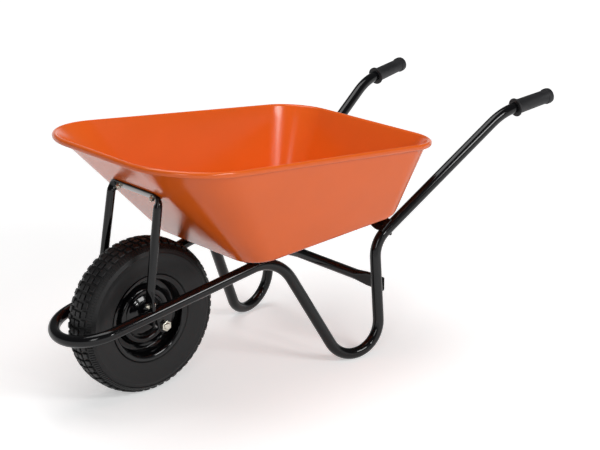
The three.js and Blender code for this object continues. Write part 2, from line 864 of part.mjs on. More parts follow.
function buildStay() {
  add('front_stay', frontStay(), blackPaint);
  const rodInside = frameRod(clearance);
  const ahead = vector(-1, 0, 0);
  for (const [name, hand] of [['left', -1], ['right', 1]]) {
    add(`stay_lug_${name}`, stayLug(hand, rodInside), blackPaint);
    const y = hand * stayFootHalfWidth;
    const backFace = stayFootX + stayFlat / 2 + 2 * clearance + lugSheet;
    const frontFace = stayFootX - stayFlat / 2 - clearance;
    const reach = backFace - frontFace + large.nutHeight + boltBeyondNut;
    const seat = vector(backFace, y, stayBoltPlace.z);
    add(`stay_foot_bolt_${name}`, laid(hexBolt(large, reach), seat, ahead), zinc);
    const nut = hexNut(large.size, large.nutHeight, large.radius + clearance);
    add(`stay_foot_nut_${name}`, laid(nut, vector(frontFace, y, stayBoltPlace.z), ahead), zinc);
  }
}

function buildPan() {
  add('pan', cut(panShell(), ...wallBoltHoles()), orangePaint);
}

// Cross bearer under the pan floor, on the tops of the upper bends

const bearerDepth = floorAboveBend + bearerLap;

// Place on the bearer's top face at one of its two studs.
function bearerTop(hand) {
  const x = crest.x;
  return vector(x, hand * studHalfSpacing, floorHeight(x)).addScaledVector(floorNormal, -clearance);
}

// Downward-open channel, with its top face just under the pan floor.
function bearerChannel() {
  const shape = new THREE.Shape([
    [-bearerWidth / 2, 0], [-bearerWidth / 2, -bearerDepth],
    [-bearerWidth / 2 + bearerSheet, -bearerDepth], [-bearerWidth / 2 + bearerSheet, -bearerSheet],
    [bearerWidth / 2 - bearerSheet, -bearerSheet], [bearerWidth / 2 - bearerSheet, -bearerDepth],
    [bearerWidth / 2, -bearerDepth], [bearerWidth / 2, 0],
  ].map(([x, z]) => new THREE.Vector2(x, z)));
  const halfLength = -crest.y + tubeRadius * 0.7;
  const geometry = new THREE.ExtrudeGeometry(shape, { depth: 2 * halfLength, bevelEnabled: false });
  geometry.rotateX(Math.PI / 2);
  geometry.translate(0, halfLength, 0);
  geometry.rotateY(-Math.atan(floorSlope));
  const seat = bearerTop(0);
  geometry.translate(seat.x, 0, seat.z);
  return geometry;
}

function buildBearer() {
  const holes = [-1, 1].map((hand) => boltHole(large, bearerTop(hand), floorNormal));
  add('pan_bearer', cut(bearerChannel(), frameRod(clearance), ...holes), blackPaint);
  const below = floorNormal.clone().negate();
  for (const [name, hand] of [['left', -1], ['right', 1]]) {
    const top = bearerTop(hand);
    const grip = bearerSheet + clearance;
    const reach = grip + large.nutHeight + boltBeyondNut;
    add(`pan_floor_stud_${name}`, rod(large.radius, reach, top, below, 12), zinc);
    const seat = top.clone().addScaledVector(below, grip);
    const nut = hexNut(large.size, large.nutHeight, large.radius + clearance);
    add(`pan_floor_nut_${name}`, laid(nut, seat, below), zinc);
  }
}

function buildFrontBolts() {
  for (const [name, hand] of [['left', -1], ['right', 1]]) {
    const inside = onFrontWall(hand * stayBoltHalfSpacing, stayTopHeight)
      .addScaledVector(frontNormal, -panSheet - clearance);
    const stack = panSheet + stayFlat + 3 * clearance;
    const reach = stack + washerSheet + clearance + large.nutHeight + boltBeyondNut;
    add(`pan_front_bolt_${name}`, laid(domeBolt(large, reach), inside, frontNormal), zinc);
    const washerSeat = inside.clone().addScaledVector(frontNormal, stack);
    const ring = washer(washerRadius, large.radius + clearance, washerSheet);
    add(`pan_front_washer_${name}`, laid(ring, washerSeat, frontNormal), zinc);
    const nutSeat = washerSeat.clone().addScaledVector(frontNormal, washerSheet + clearance);
    const nut = hexNut(large.size, large.nutHeight, large.radius + clearance);
    add(`pan_front_nut_${name}`, laid(nut, nutSeat, frontNormal), zinc);
  }
}

// Rear strap across the tops of the handles, raised in its middle to carry the back of the pan

const handleHeading = direction(legTop, handleBend);
const strapHeading = vector(handleHeading.x, 0, handleHeading.z).normalize();
const strapNormal = strapHeading.clone().cross(across);
const strapTube = legTop.clone().addScaledVector(handleHeading, strapFromCorner);
const strapAboveTube = tubeRadius + clearance + strapSheet / 2;
const strapOnTube = strapTube.clone().addScaledVector(strapNormal, strapAboveTube);
const floorHeading = vector(1, 0, floorSlope).normalize();

function strapRing(y, raise) {
  const flat = vector(strapOnTube.x, y, strapOnTube.z);
  const top = vector(strapOnTube.x, y, floorHeight(strapOnTube.x) - clearance - strapSheet / 2);
  const centre = flat.lerp(top, raise);
  const heading = strapHeading.clone().lerp(floorHeading, raise).normalize();
  const normal = heading.clone().cross(across);
  return [[-1, -1], [1, -1], [1, 1], [-1, 1]].map(([along, thick]) => centre.clone()
    .addScaledVector(heading, (along * strapWidth) / 2)
    .addScaledVector(normal, (thick * strapSheet) / 2));
}

function strapPlate() {
  const end = -strapTube.y + strapBeyondTube;
  const bendStart = -strapTube.y - tubeRadius;
  const rings = [strapRing(-end, 0)];
  for (let k = 0; k <= 8; k++) {
    const share = k / 8;
    rings.push(strapRing(-bendStart + share * strapRise, ease(share)));
  }
  const other = rings.map((ring) => ring.map(mirrored)).reverse();
  return loft([...rings, ...other]);
}

function strapHoles() {
  return [-1, 1].map((hand) => {
    const centre = hand < 0 ? strapTube : mirrored(strapTube);
    return boltHole(small, centre, strapNormal, 3 * tubeRadius);
  });
}

function buildStrap() {
  add('rear_strap', cut(strapPlate(), frameRod(clearance), ...strapHoles()), blackPaint);
  const below = strapNormal.clone().negate();
  for (const [name, hand] of [['left', -1], ['right', 1]]) {
    const centre = hand < 0 ? strapTube : mirrored(strapTube);
    const head = centre.clone().addScaledVector(strapNormal, tubeRadius + strapSheet + 2 * clearance);
    const grip = 2 * tubeRadius + strapSheet + 3 * clearance;
    const bolt = domeBolt(small, grip + small.nutHeight + boltBeyondNut);
    add(`strap_bolt_${name}`, laid(bolt, head, below), blackPaint);
    const nut = hexNut(small.size, small.nutHeight, small.radius + clearance);
    add(`strap_nut_${name}`, laid(nut, head.clone().addScaledVector(below, grip), below), blackPaint);
  }
}

// Brace between the rear legs, with its ends pressed flat behind them

const legAtBrace = foot.clone().lerp(legTop, (braceHeight - foot.z) / (legTop.z - foot.z));

function braceRings(wall) {
  const x = legAtBrace.x + tubeRadius + clearance + braceFlat / 2;
  const end = -legAtBrace.y + braceBeyondTube;
  const flatEnd = end - bracePressed;
  const stations = [[end, braceFlat], [flatEnd, braceFlat], [flatEnd - braceEasing, 2 * braceRadius]];
  const both = [...stations, ...stations.map(([y, thickness]) => [-y, thickness]).reverse()];
  return both.map(([y, thickness]) => pressedRing(
    vector(x, y, braceHeight), upward, vector(-1, 0, 0), braceRadius - wall, thickness - 2 * wall, 14,
  ));
}

function buildBrace() {
  const outer = loft(braceRings(0));
  const inner = loft(braceRings(braceWall).map((ring, i, all) => {
    const outwards = i === 0 ? 1 : i === all.length - 1 ? -1 : 0;
    return ring.map((point) => point.clone().add(vector(0, outwards, 0)));
  }));
  add('leg_brace', cut(outer, inner, frameRod(clearance)), blackPaint);
}

// Grips

function gripShape() {
  const bore = tubeRadius + clearance;
  const depth = gripLength - gripEndWall;
  const profile = [
    [bore, 0], [gripFlangeRadius - 2, 0], [gripFlangeRadius, 1.5], [gripFlangeRadius, gripFlangeWidth],
    [gripRadius + 1.5, gripFlangeWidth + 2], [gripRadius, gripFlangeWidth + 12],
    [gripRadius - 1.5, gripLength - 22], [gripCollarRadius, gripLength - 16],
    [gripCollarRadius, gripLength - 5], [gripCollarRadius - 4, gripLength],
    [0, gripLength], [0, depth], [bore, depth], [bore, 0],
  ];
  const geometry = latheOf(profile, 18);
  geometry.rotateX(Math.PI / 2);
  return geometry;
}

function buildGrips() {
  for (const [name, place] of [['left', (point) => point], ['right', mirrored]]) {
    const heading = direction(handleBend, handleEnd);
    const start = handleEnd.clone().addScaledVector(heading, clearance + gripEndWall - gripLength);
    add(`grip_${name}`, laid(gripShape(), place(start), place(heading)), gripRubber);
  }
}

function buildFrame() {
  const tube = sweep(ringShape(tubeRadius, tubeRadius - tubeWall, 14, 8), framePath);
  add('frame_tube', cut(tube, ...strapHoles()), blackPaint);
}

buildFrame();
buildPan();
buildStay();
buildFrontBolts();
buildBearer();
buildStrap();
buildBrace();
buildAxle();
buildWheel();
buildGrips();

// The origin lies on the ground under the middle of the whole barrow.
const bounds = new THREE.Box3().setFromObject(barrow);
barrow.position.set(-(bounds.min.x + bounds.max.x) / 2, 0, -bounds.min.z);
barrow.updateMatrixWorld(true);

export default barrow;
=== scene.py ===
"""Builder's wheelbarrow: orange pan, black tubular frame, one pneumatic wheel."""

import math

import bmesh
import bpy
from mathutils import Matrix, Vector


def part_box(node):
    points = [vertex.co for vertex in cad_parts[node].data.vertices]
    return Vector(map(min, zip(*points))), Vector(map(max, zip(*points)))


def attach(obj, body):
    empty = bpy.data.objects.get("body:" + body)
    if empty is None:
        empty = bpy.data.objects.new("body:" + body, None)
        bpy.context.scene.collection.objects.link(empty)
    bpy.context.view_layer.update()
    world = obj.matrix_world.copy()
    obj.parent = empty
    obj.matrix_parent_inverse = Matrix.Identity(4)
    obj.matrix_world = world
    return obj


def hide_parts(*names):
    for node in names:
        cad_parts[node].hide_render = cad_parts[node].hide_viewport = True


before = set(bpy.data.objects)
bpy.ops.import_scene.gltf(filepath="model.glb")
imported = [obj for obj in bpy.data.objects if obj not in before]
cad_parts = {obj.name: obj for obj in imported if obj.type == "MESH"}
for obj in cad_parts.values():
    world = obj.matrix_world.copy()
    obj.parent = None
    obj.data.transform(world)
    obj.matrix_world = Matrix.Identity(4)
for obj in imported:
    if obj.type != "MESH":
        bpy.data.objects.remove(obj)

bl_info = {
    "name": "Builder's Wheelbarrow",
    "version": (1, 0, 0),
    "blender": (4, 5, 0),
    "location": "View3D > Sidebar > Wheelbarrow",
    "description": "Models a builder's wheelbarrow piece by piece round its CAD parts",
    "category": "Add Mesh",
}

HANDS = {"left": -1, "right": 1}
UP = Vector((0, 0, 1))
ACROSS = Vector((0, 1, 0))
AHEAD = Vector((-1, 0, 0))


# Sizes and colours


def length(name, description, millimetres):
    """A length that a user may change."""
    return bpy.props.FloatProperty(
        name=name, description=description, default=millimetres / 1000, min=0.0001, unit="LENGTH"
    )


def linear(hex_colour):
    """A written sRGB colour as Blender's linear one."""
    parts = [int(hex_colour[i:i + 2], 16) / 255 for i in (1, 3, 5)]
    curved = [c / 12.92 if c <= 0.04045 else ((c + 0.055) / 1.055) ** 2.4 for c in parts]
    return (*curved, 1.0)


def colour(name, description, hex_colour):
    """A colour that a user may change."""
    return bpy.props.FloatVectorProperty(
        name=name,
        description=description,
        default=linear(hex_colour),
        size=4,
        min=0,
        max=1,
        subtype="COLOR",
    )


class WheelbarrowSizes(bpy.types.PropertyGroup):
    """Sizes of the barrow's own pieces."""

    tube_radius: length("Frame tube radius", "Outside radius of the bent frame tube", 15)
    stay_radius: length("Stay tube radius", "Outside radius of the front stay", 11)
    bead_radius: length("Rim bead radius", "Radius of the rolled edge of the pan", 7.7)
    pan_sheet: length("Pan sheet", "Thickness of the pan's steel", 1.5)
    floor_rounding: length("Floor rounding", "Radius between the pan's floor and walls", 24.7)
    tread_depth: length("Tread depth", "Height of the tyre's blocks", 5)
    tread_blocks: bpy.props.IntProperty(
        name="Tread blocks",
        description="Blocks in each row round the tyre",
        default=56,
        min=12,
    )
    edge_round: length("Edge round", "Round of the cut edges of plates and nuts", 0.6)


class WheelbarrowColours(bpy.types.PropertyGroup):
    """Colours of the finishes."""

    pan_orange: colour("Pan", "Powder coat of the pan", "#E7641A")
    frame_black: colour("Frame", "Powder coat of the tubes", "#08080A")
    zinc: colour("Zinc", "Bright zinc plating of the nuts", "#CFCBBE")
    tyre_black: colour("Tyre", "Rubber of the tyre", "#101011")
    grip_black: colour("Grips", "Rubber of the grips", "#1D1D1F")
    floor_white: colour("Floor", "Studio floor", "#F2F2F2")


def sizes():
    return bpy.context.scene.wheelbarrow_sizes


def colours():
    return bpy.context.scene.wheelbarrow_colours


def spot(x, y, z):
    """A place given in millimetres."""
    return Vector((x, y, z)) / 1000


def other_side(point):
    return Vector((point.x, -point.y, point.z))


def both_sides(left):
    """The points of the left side, and then those of the right side backwards."""
    return left + [other_side(point) for point in reversed(left)]


# Working as by hand

# Points of a mesh this near to each other are the same; a seam may gape a little more.
SAME_POINT = 0.000001
SEAM = 0.00001


def put_down():
    """Leaves edit mode with nothing selected."""
    if bpy.context.object and bpy.context.object.mode != "OBJECT":
        bpy.ops.object.mode_set(mode="OBJECT")
    bpy.ops.object.select_all(action="DESELECT")


def pick(*pieces):
    """Selects these pieces alone; the first one is the active one."""
    put_down()
    for piece in pieces:
        piece.select_set(True)
    bpy.context.view_layer.objects.active = pieces[0]


def open_up(piece, mode="VERT"):
    """Enters edit mode on a piece with all of it selected."""
    pick(piece)
    bpy.ops.object.mode_set(mode="EDIT")
    bpy.ops.mesh.select_mode(type=mode)
    bpy.ops.mesh.select_all(action="SELECT")


def close_up():
    bpy.ops.object.mode_set(mode="OBJECT")


def close_facing_out():
    """Turns all faces of the open piece outwards and leaves edit mode."""
    bpy.ops.mesh.select_all(action="SELECT")
    bpy.ops.mesh.normals_make_consistent(inside=False)
    close_up()


def choose(piece, mode, wanted):
    """Selects the vertices, edges or faces of an open piece that are wanted."""
    bpy.ops.mesh.select_mode(type=mode)
    bpy.ops.mesh.select_all(action="DESELECT")
    mesh = bmesh.from_edit_mesh(piece.data)
    parts = {"VERT": mesh.verts, "EDGE": mesh.edges, "FACE": mesh.faces}[mode]
    for part in parts:
        if wanted(part):
            part.select = True
    mesh.select_flush_mode()
    bmesh.update_edit_mesh(piece.data)


def middle(part):
    """The middle of an edge or face."""
    places = [vertex.co for vertex in part.verts]
    return sum(places, Vector()) / len(places)


def settle(piece, name=None):
    """Applies a piece's place and gives it its name."""
    pick(piece)
    bpy.ops.object.transform_apply(location=True, rotation=True, scale=True)
    if name:
        piece.name = name
        piece.data.name = name
    return piece


def finish_with(piece, kind, **settings):
    """Adds a modifier and applies it."""
    pick(piece)
    modifier = piece.modifiers.new(kind.title(), kind)
    for key, value in settings.items():
        setattr(modifier, key, value)
    bpy.ops.object.modifier_apply(modifier=modifier.name)


def round_edges(piece, width, degrees):
    """Rounds the edges that turn by more than this angle."""
    limit = math.radians(degrees)
    finish_with(
        piece, "BEVEL", width=width, segments=2, limit_method="ANGLE", angle_limit=limit
    )


def smooth(piece, degrees=35):
    """Shades a piece smooth, but for the edges that turn by more than this angle."""
    pick(piece)
    bpy.ops.object.shade_smooth_by_angle(angle=math.radians(degrees))
    return piece


def face_outwards(piece):
    open_up(piece)
    close_facing_out()
    return piece


def close_seams(piece, distance=SEAM):
    """Merges the points along a piece's seams."""
    open_up(piece)
    bpy.ops.mesh.remove_doubles(threshold=distance)
    close_facing_out()
    return piece


def fill_openings(piece):
    """Opens a piece and closes its loose edges with faces."""
    open_up(piece, "EDGE")
    bpy.ops.mesh.select_all(action="DESELECT")
    bpy.ops.mesh.select_non_manifold(extend=False)
    bpy.ops.mesh.edge_face_add()


def joined(name, *pieces):
    """Several pieces as one."""
    pick(*pieces)
    bpy.ops.object.join()
    return settle(pieces[0], name)


def copy_of(piece, name):
    """A copy with its own mesh."""
    pick(piece)
    bpy.ops.object.duplicate(linked=False)
    twin = bpy.context.object
    twin.name = name
    twin.data.name = name
    return twin


def mirrored_copy(piece, name):
    """The same piece for the other side of the barrow."""
    twin = copy_of(piece, name)
    twin.scale.y = -1
    settle(twin)
    return face_outwards(twin)


def drawn_line(points, closed=False):
    """A line drawn from point to point by extruding a vertex."""
    put_down()
    bpy.ops.mesh.primitive_plane_add(size=0.001, location=points[0])
    line = bpy.context.object
    bpy.ops.object.mode_set(mode="EDIT")
    bpy.ops.mesh.select_mode(type="VERT")
    bpy.ops.mesh.select_all(action="SELECT")
    bpy.ops.mesh.merge(type="CENTER")
    ends = list(points) + ([points[0]] if closed else [])
    for before, after in zip(ends, ends[1:]):
        bpy.ops.mesh.extrude_region_move(TRANSFORM_OT_translate={"value": after - before})
    if closed:
        bpy.ops.mesh.select_all(action="SELECT")
        bpy.ops.mesh.remove_doubles(threshold=SAME_POINT)
    close_up()
    return settle(line)


def bend(before, corner, after, radius, step):
    """The points of a round bend at a corner, an angle of a step or less apart."""
    back = (before - corner).normalized()
    onward = (after - corner).normalized()
    turn = math.pi - back.angle(onward)
    start = corner + back * radius * math.tan(turn / 2)
    centre = corner + (back + onward).normalized() * radius / math.cos(turn / 2)
    axis = (-back).cross(onward).normalized()
    count = max(2, math.ceil(turn / step))
    turns = [Matrix.Rotation(turn * k / count, 3, axis) for k in range(count + 1)]
    return [centre + rotation @ (start - centre) for rotation in turns]


def bent_line(corners, radii, step):
    """The line of a bent tube through its corners."""
    points = [corners[0]]
    for k, radius in enumerate(radii):
        points += bend(corners[k], corners[k + 1], corners[k + 2], radius, step)
    return points + [corners[-1]]


def tube_along(name, points, radius, sides):
    """A round tube along a drawn line."""
    pick(drawn_line(points))
    bpy.ops.object.convert(target="CURVE")
    curve = bpy.context.object
    curve.data.bevel_depth = radius
    curve.data.bevel_resolution = (sides - 4) // 2
    curve.data.use_fill_caps = True
    bpy.ops.object.convert(target="MESH")
    return close_seams(settle(bpy.context.object, name))


def stood(piece, start, heading):
    """Stands an upright piece at start, with its top along heading."""
    turn = heading.to_track_quat("Z", "Y").to_matrix().to_4x4()
    piece.matrix_world = Matrix.Translation(start) @ turn
    return settle(piece)


def stood_plate(piece, start, along, facing):
    """Stands a flat plate up at start: its length lies along one way and its top faces another."""
    turn = Matrix((along, UP, facing)).transposed().to_4x4()
    piece.matrix_world = Matrix.Translation(start) @ turn
    return smooth(settle(piece))


def turned(name, profile, steps, rounding=0, closed=False):
    """A shape turned round the Z axis from a profile of (radius, height) in millimetres."""
    line = drawn_line([spot(radius, 0, height) for radius, height in profile], closed)
    open_up(line)
    if rounding:
        bpy.ops.mesh.bevel(offset=rounding / 1000, segments=3, affect="VERTICES")
        bpy.ops.mesh.select_all(action="SELECT")
    bpy.ops.mesh.spin(steps=steps, angle=2 * math.pi, center=(0, 0, 0), axis=(0, 0, 1))
    close_up()
    return settle(close_seams(line), name)


def plate(name, outline, thickness, edge=None):
    """A flat plate from its outline in millimetres, with rounded edges, lying on XY."""
    sheet = drawn_line([spot(x, y, 0) for x, y in outline], closed=True)
    open_up(sheet)
    bpy.ops.mesh.edge_face_add()
    upwards = {"value": (0, 0, thickness / 1000)}
    bpy.ops.mesh.extrude_region_move(TRANSFORM_OT_translate=upwards)
    close_facing_out()
    round_edges(sheet, edge or sizes().edge_round, 40)
    return settle(sheet, name)


def moulded(name, rows):
    """A sheet of quads laid through rows of points, closed round each row."""
    long, around = len(rows) - 1, len(rows[0])
    put_down()
    bpy.ops.mesh.primitive_grid_add(x_subdivisions=long, y_subdivisions=around, size=1)
    sheet = bpy.context.object
    for vertex in sheet.data.vertices:
        i = round((vertex.co.x + 0.5) * long)
        j = round((vertex.co.y + 0.5) * around)
        vertex.co = rows[i][j % around]
    return settle(close_seams(sheet, 2 * SAME_POINT), name)


# Materials

# Blender's noise lies mostly between these values.
NOISE_LOW, NOISE_HIGH = 0.3, 0.7


def finish_of(name, base, roughness, metallic=0.0, specular=0.5):
    """A new material with its shader's plain settings."""
    material = bpy.data.materials.new(name)
    material.use_nodes = True
    bsdf = material.node_tree.nodes["Principled BSDF"]
    bsdf.inputs["Base Color"].default_value = base
    bsdf.inputs["Roughness"].default_value = roughness
    bsdf.inputs["Metallic"].default_value = metallic
    bsdf.inputs["Specular IOR Level"].default_value = specular
    return material, bsdf


def add_node(owner, kind, settings=None, links=None):
    """Adds a node with its settings and the outputs that its inputs are linked to."""
    node = owner.node_tree.nodes.new(kind)
    for key, value in (settings or {}).items():
        if key in node.inputs:
            node.inputs[key].default_value = value
        else:
            setattr(node, key, value)
    for key, output in (links or {}).items():
        owner.node_tree.links.new(output, node.inputs[key])
    return node


def shade(base, share):
    """The same colour, lighter or darker."""
    return (*[min(1, part * share) for part in base[:3]], 1.0)


def patterned(name, base, roughness, tone, shine, relief=None, metallic=0.0, specular=0.5):
    """A finish whose tone, shine and relief each follow a noise on the piece.

    Each gives its blotches' size in millimetres and their detail, then the ends of the colour's
    shares or of the roughness, or the relief's strength and height in millimetres.
    """
    material, bsdf = finish_of(name, base, roughness, metallic, specular)
    place = add_node(material, "ShaderNodeTexCoord").outputs["Object"]
    noises = [
        add_node(
            material,
            "ShaderNodeTexNoise",
            {"Scale": 1000 / pattern[0], "Detail": pattern[1], "Roughness": 0.5},
            {"Vector": place},
        ).outputs["Fac"]
        for pattern in (tone, shine, relief)
        if pattern
    ]
    ramp = add_node(material, "ShaderNodeValToRGB", links={"Fac": noises[0]})
    ends = ramp.color_ramp.elements
    ends[0].position, ends[1].position = NOISE_LOW, NOISE_HIGH
    ends[0].color, ends[1].color = shade(base, tone[2]), shade(base, tone[3])
    rough = add_node(
        material,
        "ShaderNodeMapRange",
        {"From Min": NOISE_LOW, "From Max": NOISE_HIGH, "To Min": shine[2], "To Max": shine[3]},
        {"Value": noises[1]},
    )
    links = material.node_tree.links
    links.new(ramp.outputs["Color"], bsdf.inputs["Base Color"])
    links.new(rough.outputs["Result"], bsdf.inputs["Roughness"])
    if relief:
        bump = add_node(
            material,
            "ShaderNodeBump",
            {"Strength": relief[2], "Distance": relief[3] / 1000},
            {"Height": noises[2]},
        )
        links.new(bump.outputs["Normal"], bsdf.inputs["Normal"])
    return material


def gloss_powder_coat(name, base, roughness, peel, specular):
    """Powder coat baked on steel: an even colour under a clear gloss with a faint orange peel."""
    # The coat is a little thicker in places a hand's width apart, which shifts its tone and shine.
    # Orange peel waves of powder coat are 2 to 4 mm long.
    return patterned(
        name,
        base,
        roughness,
        tone=(120.0, 2.0, 0.98, 1.02),
        shine=(60.0, 2.0, roughness * 0.95, roughness * 1.05),
        relief=(4.0, 1.0, peel, 0.05),
        specular=specular,
    )


def bright_zinc():
    """Zinc plating on steel: a soft silver with a faint warm tint and small clouds."""
    # Plating clouds are about 3 mm across, over a grain that is just under 1 mm.
    return patterned(
        "bright_zinc_plated_steel",
        colours().zinc[:],
        0.3,
        tone=(3.0, 3.0, 0.86, 1.05),
        shine=(3.0, 3.0, 0.24, 0.4),
        relief=(0.8, 2.0, 0.1, 0.05),
        metallic=1.0,
    )


def ground_steel():
    """Ground bearing steel: grey metal with a fine even grain."""
    return patterned(
        "ground_bearing_steel",
        linear("#9A9B9C"),
        0.32,
        tone=(0.9, 3.0, 0.9, 1.05),
        shine=(0.9, 3.0, 0.26, 0.4),
        metallic=1.0,
    )


def moulded_rubber(name, base, grain_size, height):
    """Moulded rubber: a dull black with a fine grain from the mould and slightly greyer patches."""
    roughness = 0.5
    # Greyer patches are some 30 mm wide; the mould's grain is drawn coarse enough to show.
    return patterned(
        name,
        base,
        roughness,
        tone=(28.0, 3.0, 0.85, 1.2),
        shine=(28.0, 3.0, roughness * 0.92, roughness * 1.08),
        relief=(grain_size, 2.0, 0.35, height),
        specular=0.35,
    )


MATERIALS = {}


def material_for(slot):
    """The finish of a material slot, made once."""
    tints = colours()
    makers = {
        "orange_paint": lambda: gloss_powder_coat(
            "orange_gloss_powder_coat", tints.pan_orange[:], roughness=0.2, peel=0.05, specular=0.4
        ),
        "black_paint": lambda: gloss_powder_coat(
            "black_gloss_powder_coat", tints.frame_black[:], roughness=0.1, peel=0.08, specular=0.33
        ),
        "zinc": bright_zinc,
        "bearing_steel": ground_steel,
        "tyre_rubber": lambda: moulded_rubber(
            "moulded_tyre_rubber", tints.tyre_black[:], grain_size=1.6, height=0.12
        ),
        "tube_rubber": lambda: moulded_rubber(
            "butyl_tube_rubber", linear("#1C1C1D"), grain_size=2.0, height=0.05
        ),
        "grip_rubber": lambda: moulded_rubber(
            "moulded_grip_rubber", tints.grip_black[:], grain_size=1.2, height=0.06
        ),
    }
    if slot not in MATERIALS:
        MATERIALS[slot] = makers[slot]()
    return MATERIALS[slot]


def dress(piece, slot, body, *nodes):
    """Gives a finished piece its material, its body and the CAD nodes it stands for."""
    piece.data.materials.clear()
    piece.data.materials.append(material_for(slot))
    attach(piece, body)
    if nodes:
        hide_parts(*nodes)
    return piece


def dress_pair(left, twin_name, slot, node):
    """Dresses a left piece of the barrow and its mirrored twin."""
    twin = mirrored_copy(left, twin_name)
    dress(twin, slot, "barrow", node + "_right")
    dress(left, slot, "barrow", node + "_left")


# Frame tube

FRAME_CORNERS = [
    spot(727.87, -289.5, 628.5),
    spot(554.97, -268.6, 603.3),
    spot(134.77, -202.0, 303.2),
    spot(116.97, -271.0, -220.13),
    spot(-156.83, -142.4, 315.6),
    spot(-720.43, -89.2, 200.7),
    spot(-720.43, 0, 200.7),
]
FRAME_RADII = [0.180, 0.0847, 0.0821, 0.1015, 0.09783]
FRAME_BEND_STEP = math.radians(4)
FRAME_SIDES = 40


def frame_line():
    """The frame's centre line from one handle's end to the other's."""
    left = bent_line(FRAME_CORNERS, FRAME_RADII, FRAME_BEND_STEP)
    return both_sides(left[:-1])


class WHEELBARROW_OT_frame_tube(bpy.types.Operator):
    """Bend the one tube that makes both handles, both legs and the wheel guard"""

    bl_idname = "wheelbarrow.frame_tube"
    bl_label = "Frame Tube"

    def execute(self, context):
        tube = tube_along("frame_tube_bent", frame_line(), sizes().tube_radius, FRAME_SIDES)
        dress(smooth(tube), "black_paint", "barrow", "frame_tube")
        return {"FINISHED"}


# Pan

RIM_CORNERS = both_sides([spot(-598.83, -318.8, 635.1), spot(301.87, -294.4, 563.1)])
RIM_RADII = [0.1892, 0.1169, 0.1169, 0.1892]
FLOOR_CORNERS = both_sides([spot(-287.93, -212.2, 361.38), spot(198.37, -229.0, 400.78)])
FLOOR_RADII = [0.069, 0.0674, 0.0674, 0.069]
FLOOR_INSET = 0.004
CORNER_STEPS = 20
ROUNDING_STEPS = 8
WALL_STEPS = 6
BEAD_STEPS = 18
BEAD_INSIDE_STEPS = 10
BEAD_END = math.radians(-135)


def even_outline(corners, radii):
    """A rounded outline with as many points on each corner."""
    points = []
    for k, corner in enumerate(corners):
        before, after = corners[k - 1], corners[(k + 1) % len(corners)]
        turn = math.pi - (before - corner).angle(after - corner)
        # Half a step less keeps rounding errors from adding a point.
        points += bend(before, corner, after, radii[k], turn / (CORNER_STEPS - 0.5))
    return points


def pan_section(low, high):
    """The sheet's section from the floor up its inside, round the bead and down its outside."""
    rounding, bead, sheet = sizes().floor_rounding, sizes().bead_radius, sizes().pan_sheet
    out = Vector((high.x - low.x, high.y - low.y, 0)).normalized()
    reach = Vector(((high - low).dot(out), high.z - low.z))
    lean = math.atan2(reach.y, reach.x) - math.acos((rounding + bead - sheet) / reach.length)

    def arc(centre, radius, start, end, steps):
        angles = [start + (end - start) * k / steps for k in range(steps + 1)]
        return [centre + radius * (math.cos(a) * out + math.sin(a) * UP) for a in angles]

    def wall(start, end):
        return [start.lerp(end, k / WALL_STEPS) for k in range(1, WALL_STEPS)]

    inner = arc(low, rounding - sheet, -math.pi / 2, lean, ROUNDING_STEPS)
    roll = arc(high, bead, lean + math.pi, BEAD_END, BEAD_STEPS)
    inside_roll = arc(high, bead - sheet, BEAD_END, lean + math.pi, BEAD_INSIDE_STEPS)
    outer = arc(low, rounding, lean, -math.pi / 2, ROUNDING_STEPS)
    up, down = wall(inner[-1], roll[0]), wall(inside_roll[-1], outer[0])
    return inner + up + roll + inside_roll + down + outer


def pan_sheet():
    """The pressed pan, whose walls lean each at their own angle, so its rows are laid in code."""
    low, high = even_outline(FLOOR_CORNERS, FLOOR_RADII), even_outline(RIM_CORNERS, RIM_RADII)
    sections = [pan_section(a, b) for a, b in zip(low, high)]
    pan = moulded("pan_pressed_sheet", [list(row) for row in zip(*sections)])
    fill_openings(pan)
    # Only the two faces of the floor have this many corners.
    choose(pan, "FACE", lambda face: len(face.verts) > 20)
    bpy.ops.mesh.inset(thickness=FLOOR_INSET)
    close_facing_out()
    return smooth(pan, 40)


class WHEELBARROW_OT_pan(bpy.types.Operator):
    """Press the pan with its rolled rim"""

    bl_idname = "wheelbarrow.pan"
    bl_label = "Pan"

    def execute(self, context):
        dress(pan_sheet(), "orange_paint", "barrow", "pan")
        return {"FINISHED"}


# Front stay

FRONT_NORMAL = Vector((-0.71493, 0, -0.69920))
STAY_TOP = spot(-491.64, 0, 518.18)
STAY_CORNER = spot(-491.64, -96.9, 518.18)
STAY_KNEE = spot(-529.93, -103.6, 278.54)
STAY_FOOT = spot(-529.93, -103.6, 254.54)
STAY_FLAT = 0.005
STAY_EASING = 0.028
STAY_CORNER_RADIUS = 0.018
STAY_BEND_STEP = math.radians(6)
STAY_SIDES = 32
FOOT_STEP, LEG_STEP, TOP_STEP = 0.004, 0.003, 0.008


def evenly(start, end, step):
    """Even points along a straight run, without its end."""
    count = max(1, round((end - start).length / step))
    return [start.lerp(end, k / count) for k in range(count)]


def ease(share):
    """Starts and ends a change gently."""
    share = min(1, max(0, share))
    return share * share * (3 - 2 * share)


def pressed_ring(centre, heading, normal, amount):
    """One ring of the stay's tube, pressed by this amount from round towards flat."""
    radius = sizes().stay_radius
    thin = (normal - normal.dot(heading) * heading).normalized()
    wide = thin.cross(heading)
    thickness = 2 * radius + amount * (STAY_FLAT - 2 * radius)
    # A pressed tube keeps its girth, so what it loses in height turns into straight sides.
    straight = math.pi * (2 * radius - thickness) / 4
    ring = []
    for k in range(STAY_SIDES):
        turn = 2 * math.pi * (k + 0.5) / STAY_SIDES
        sideways = thickness / 2 * math.cos(turn) + math.copysign(straight, math.cos(turn))
        ring.append(centre + sideways * wide + thickness / 2 * math.sin(turn) * thin)
    return ring


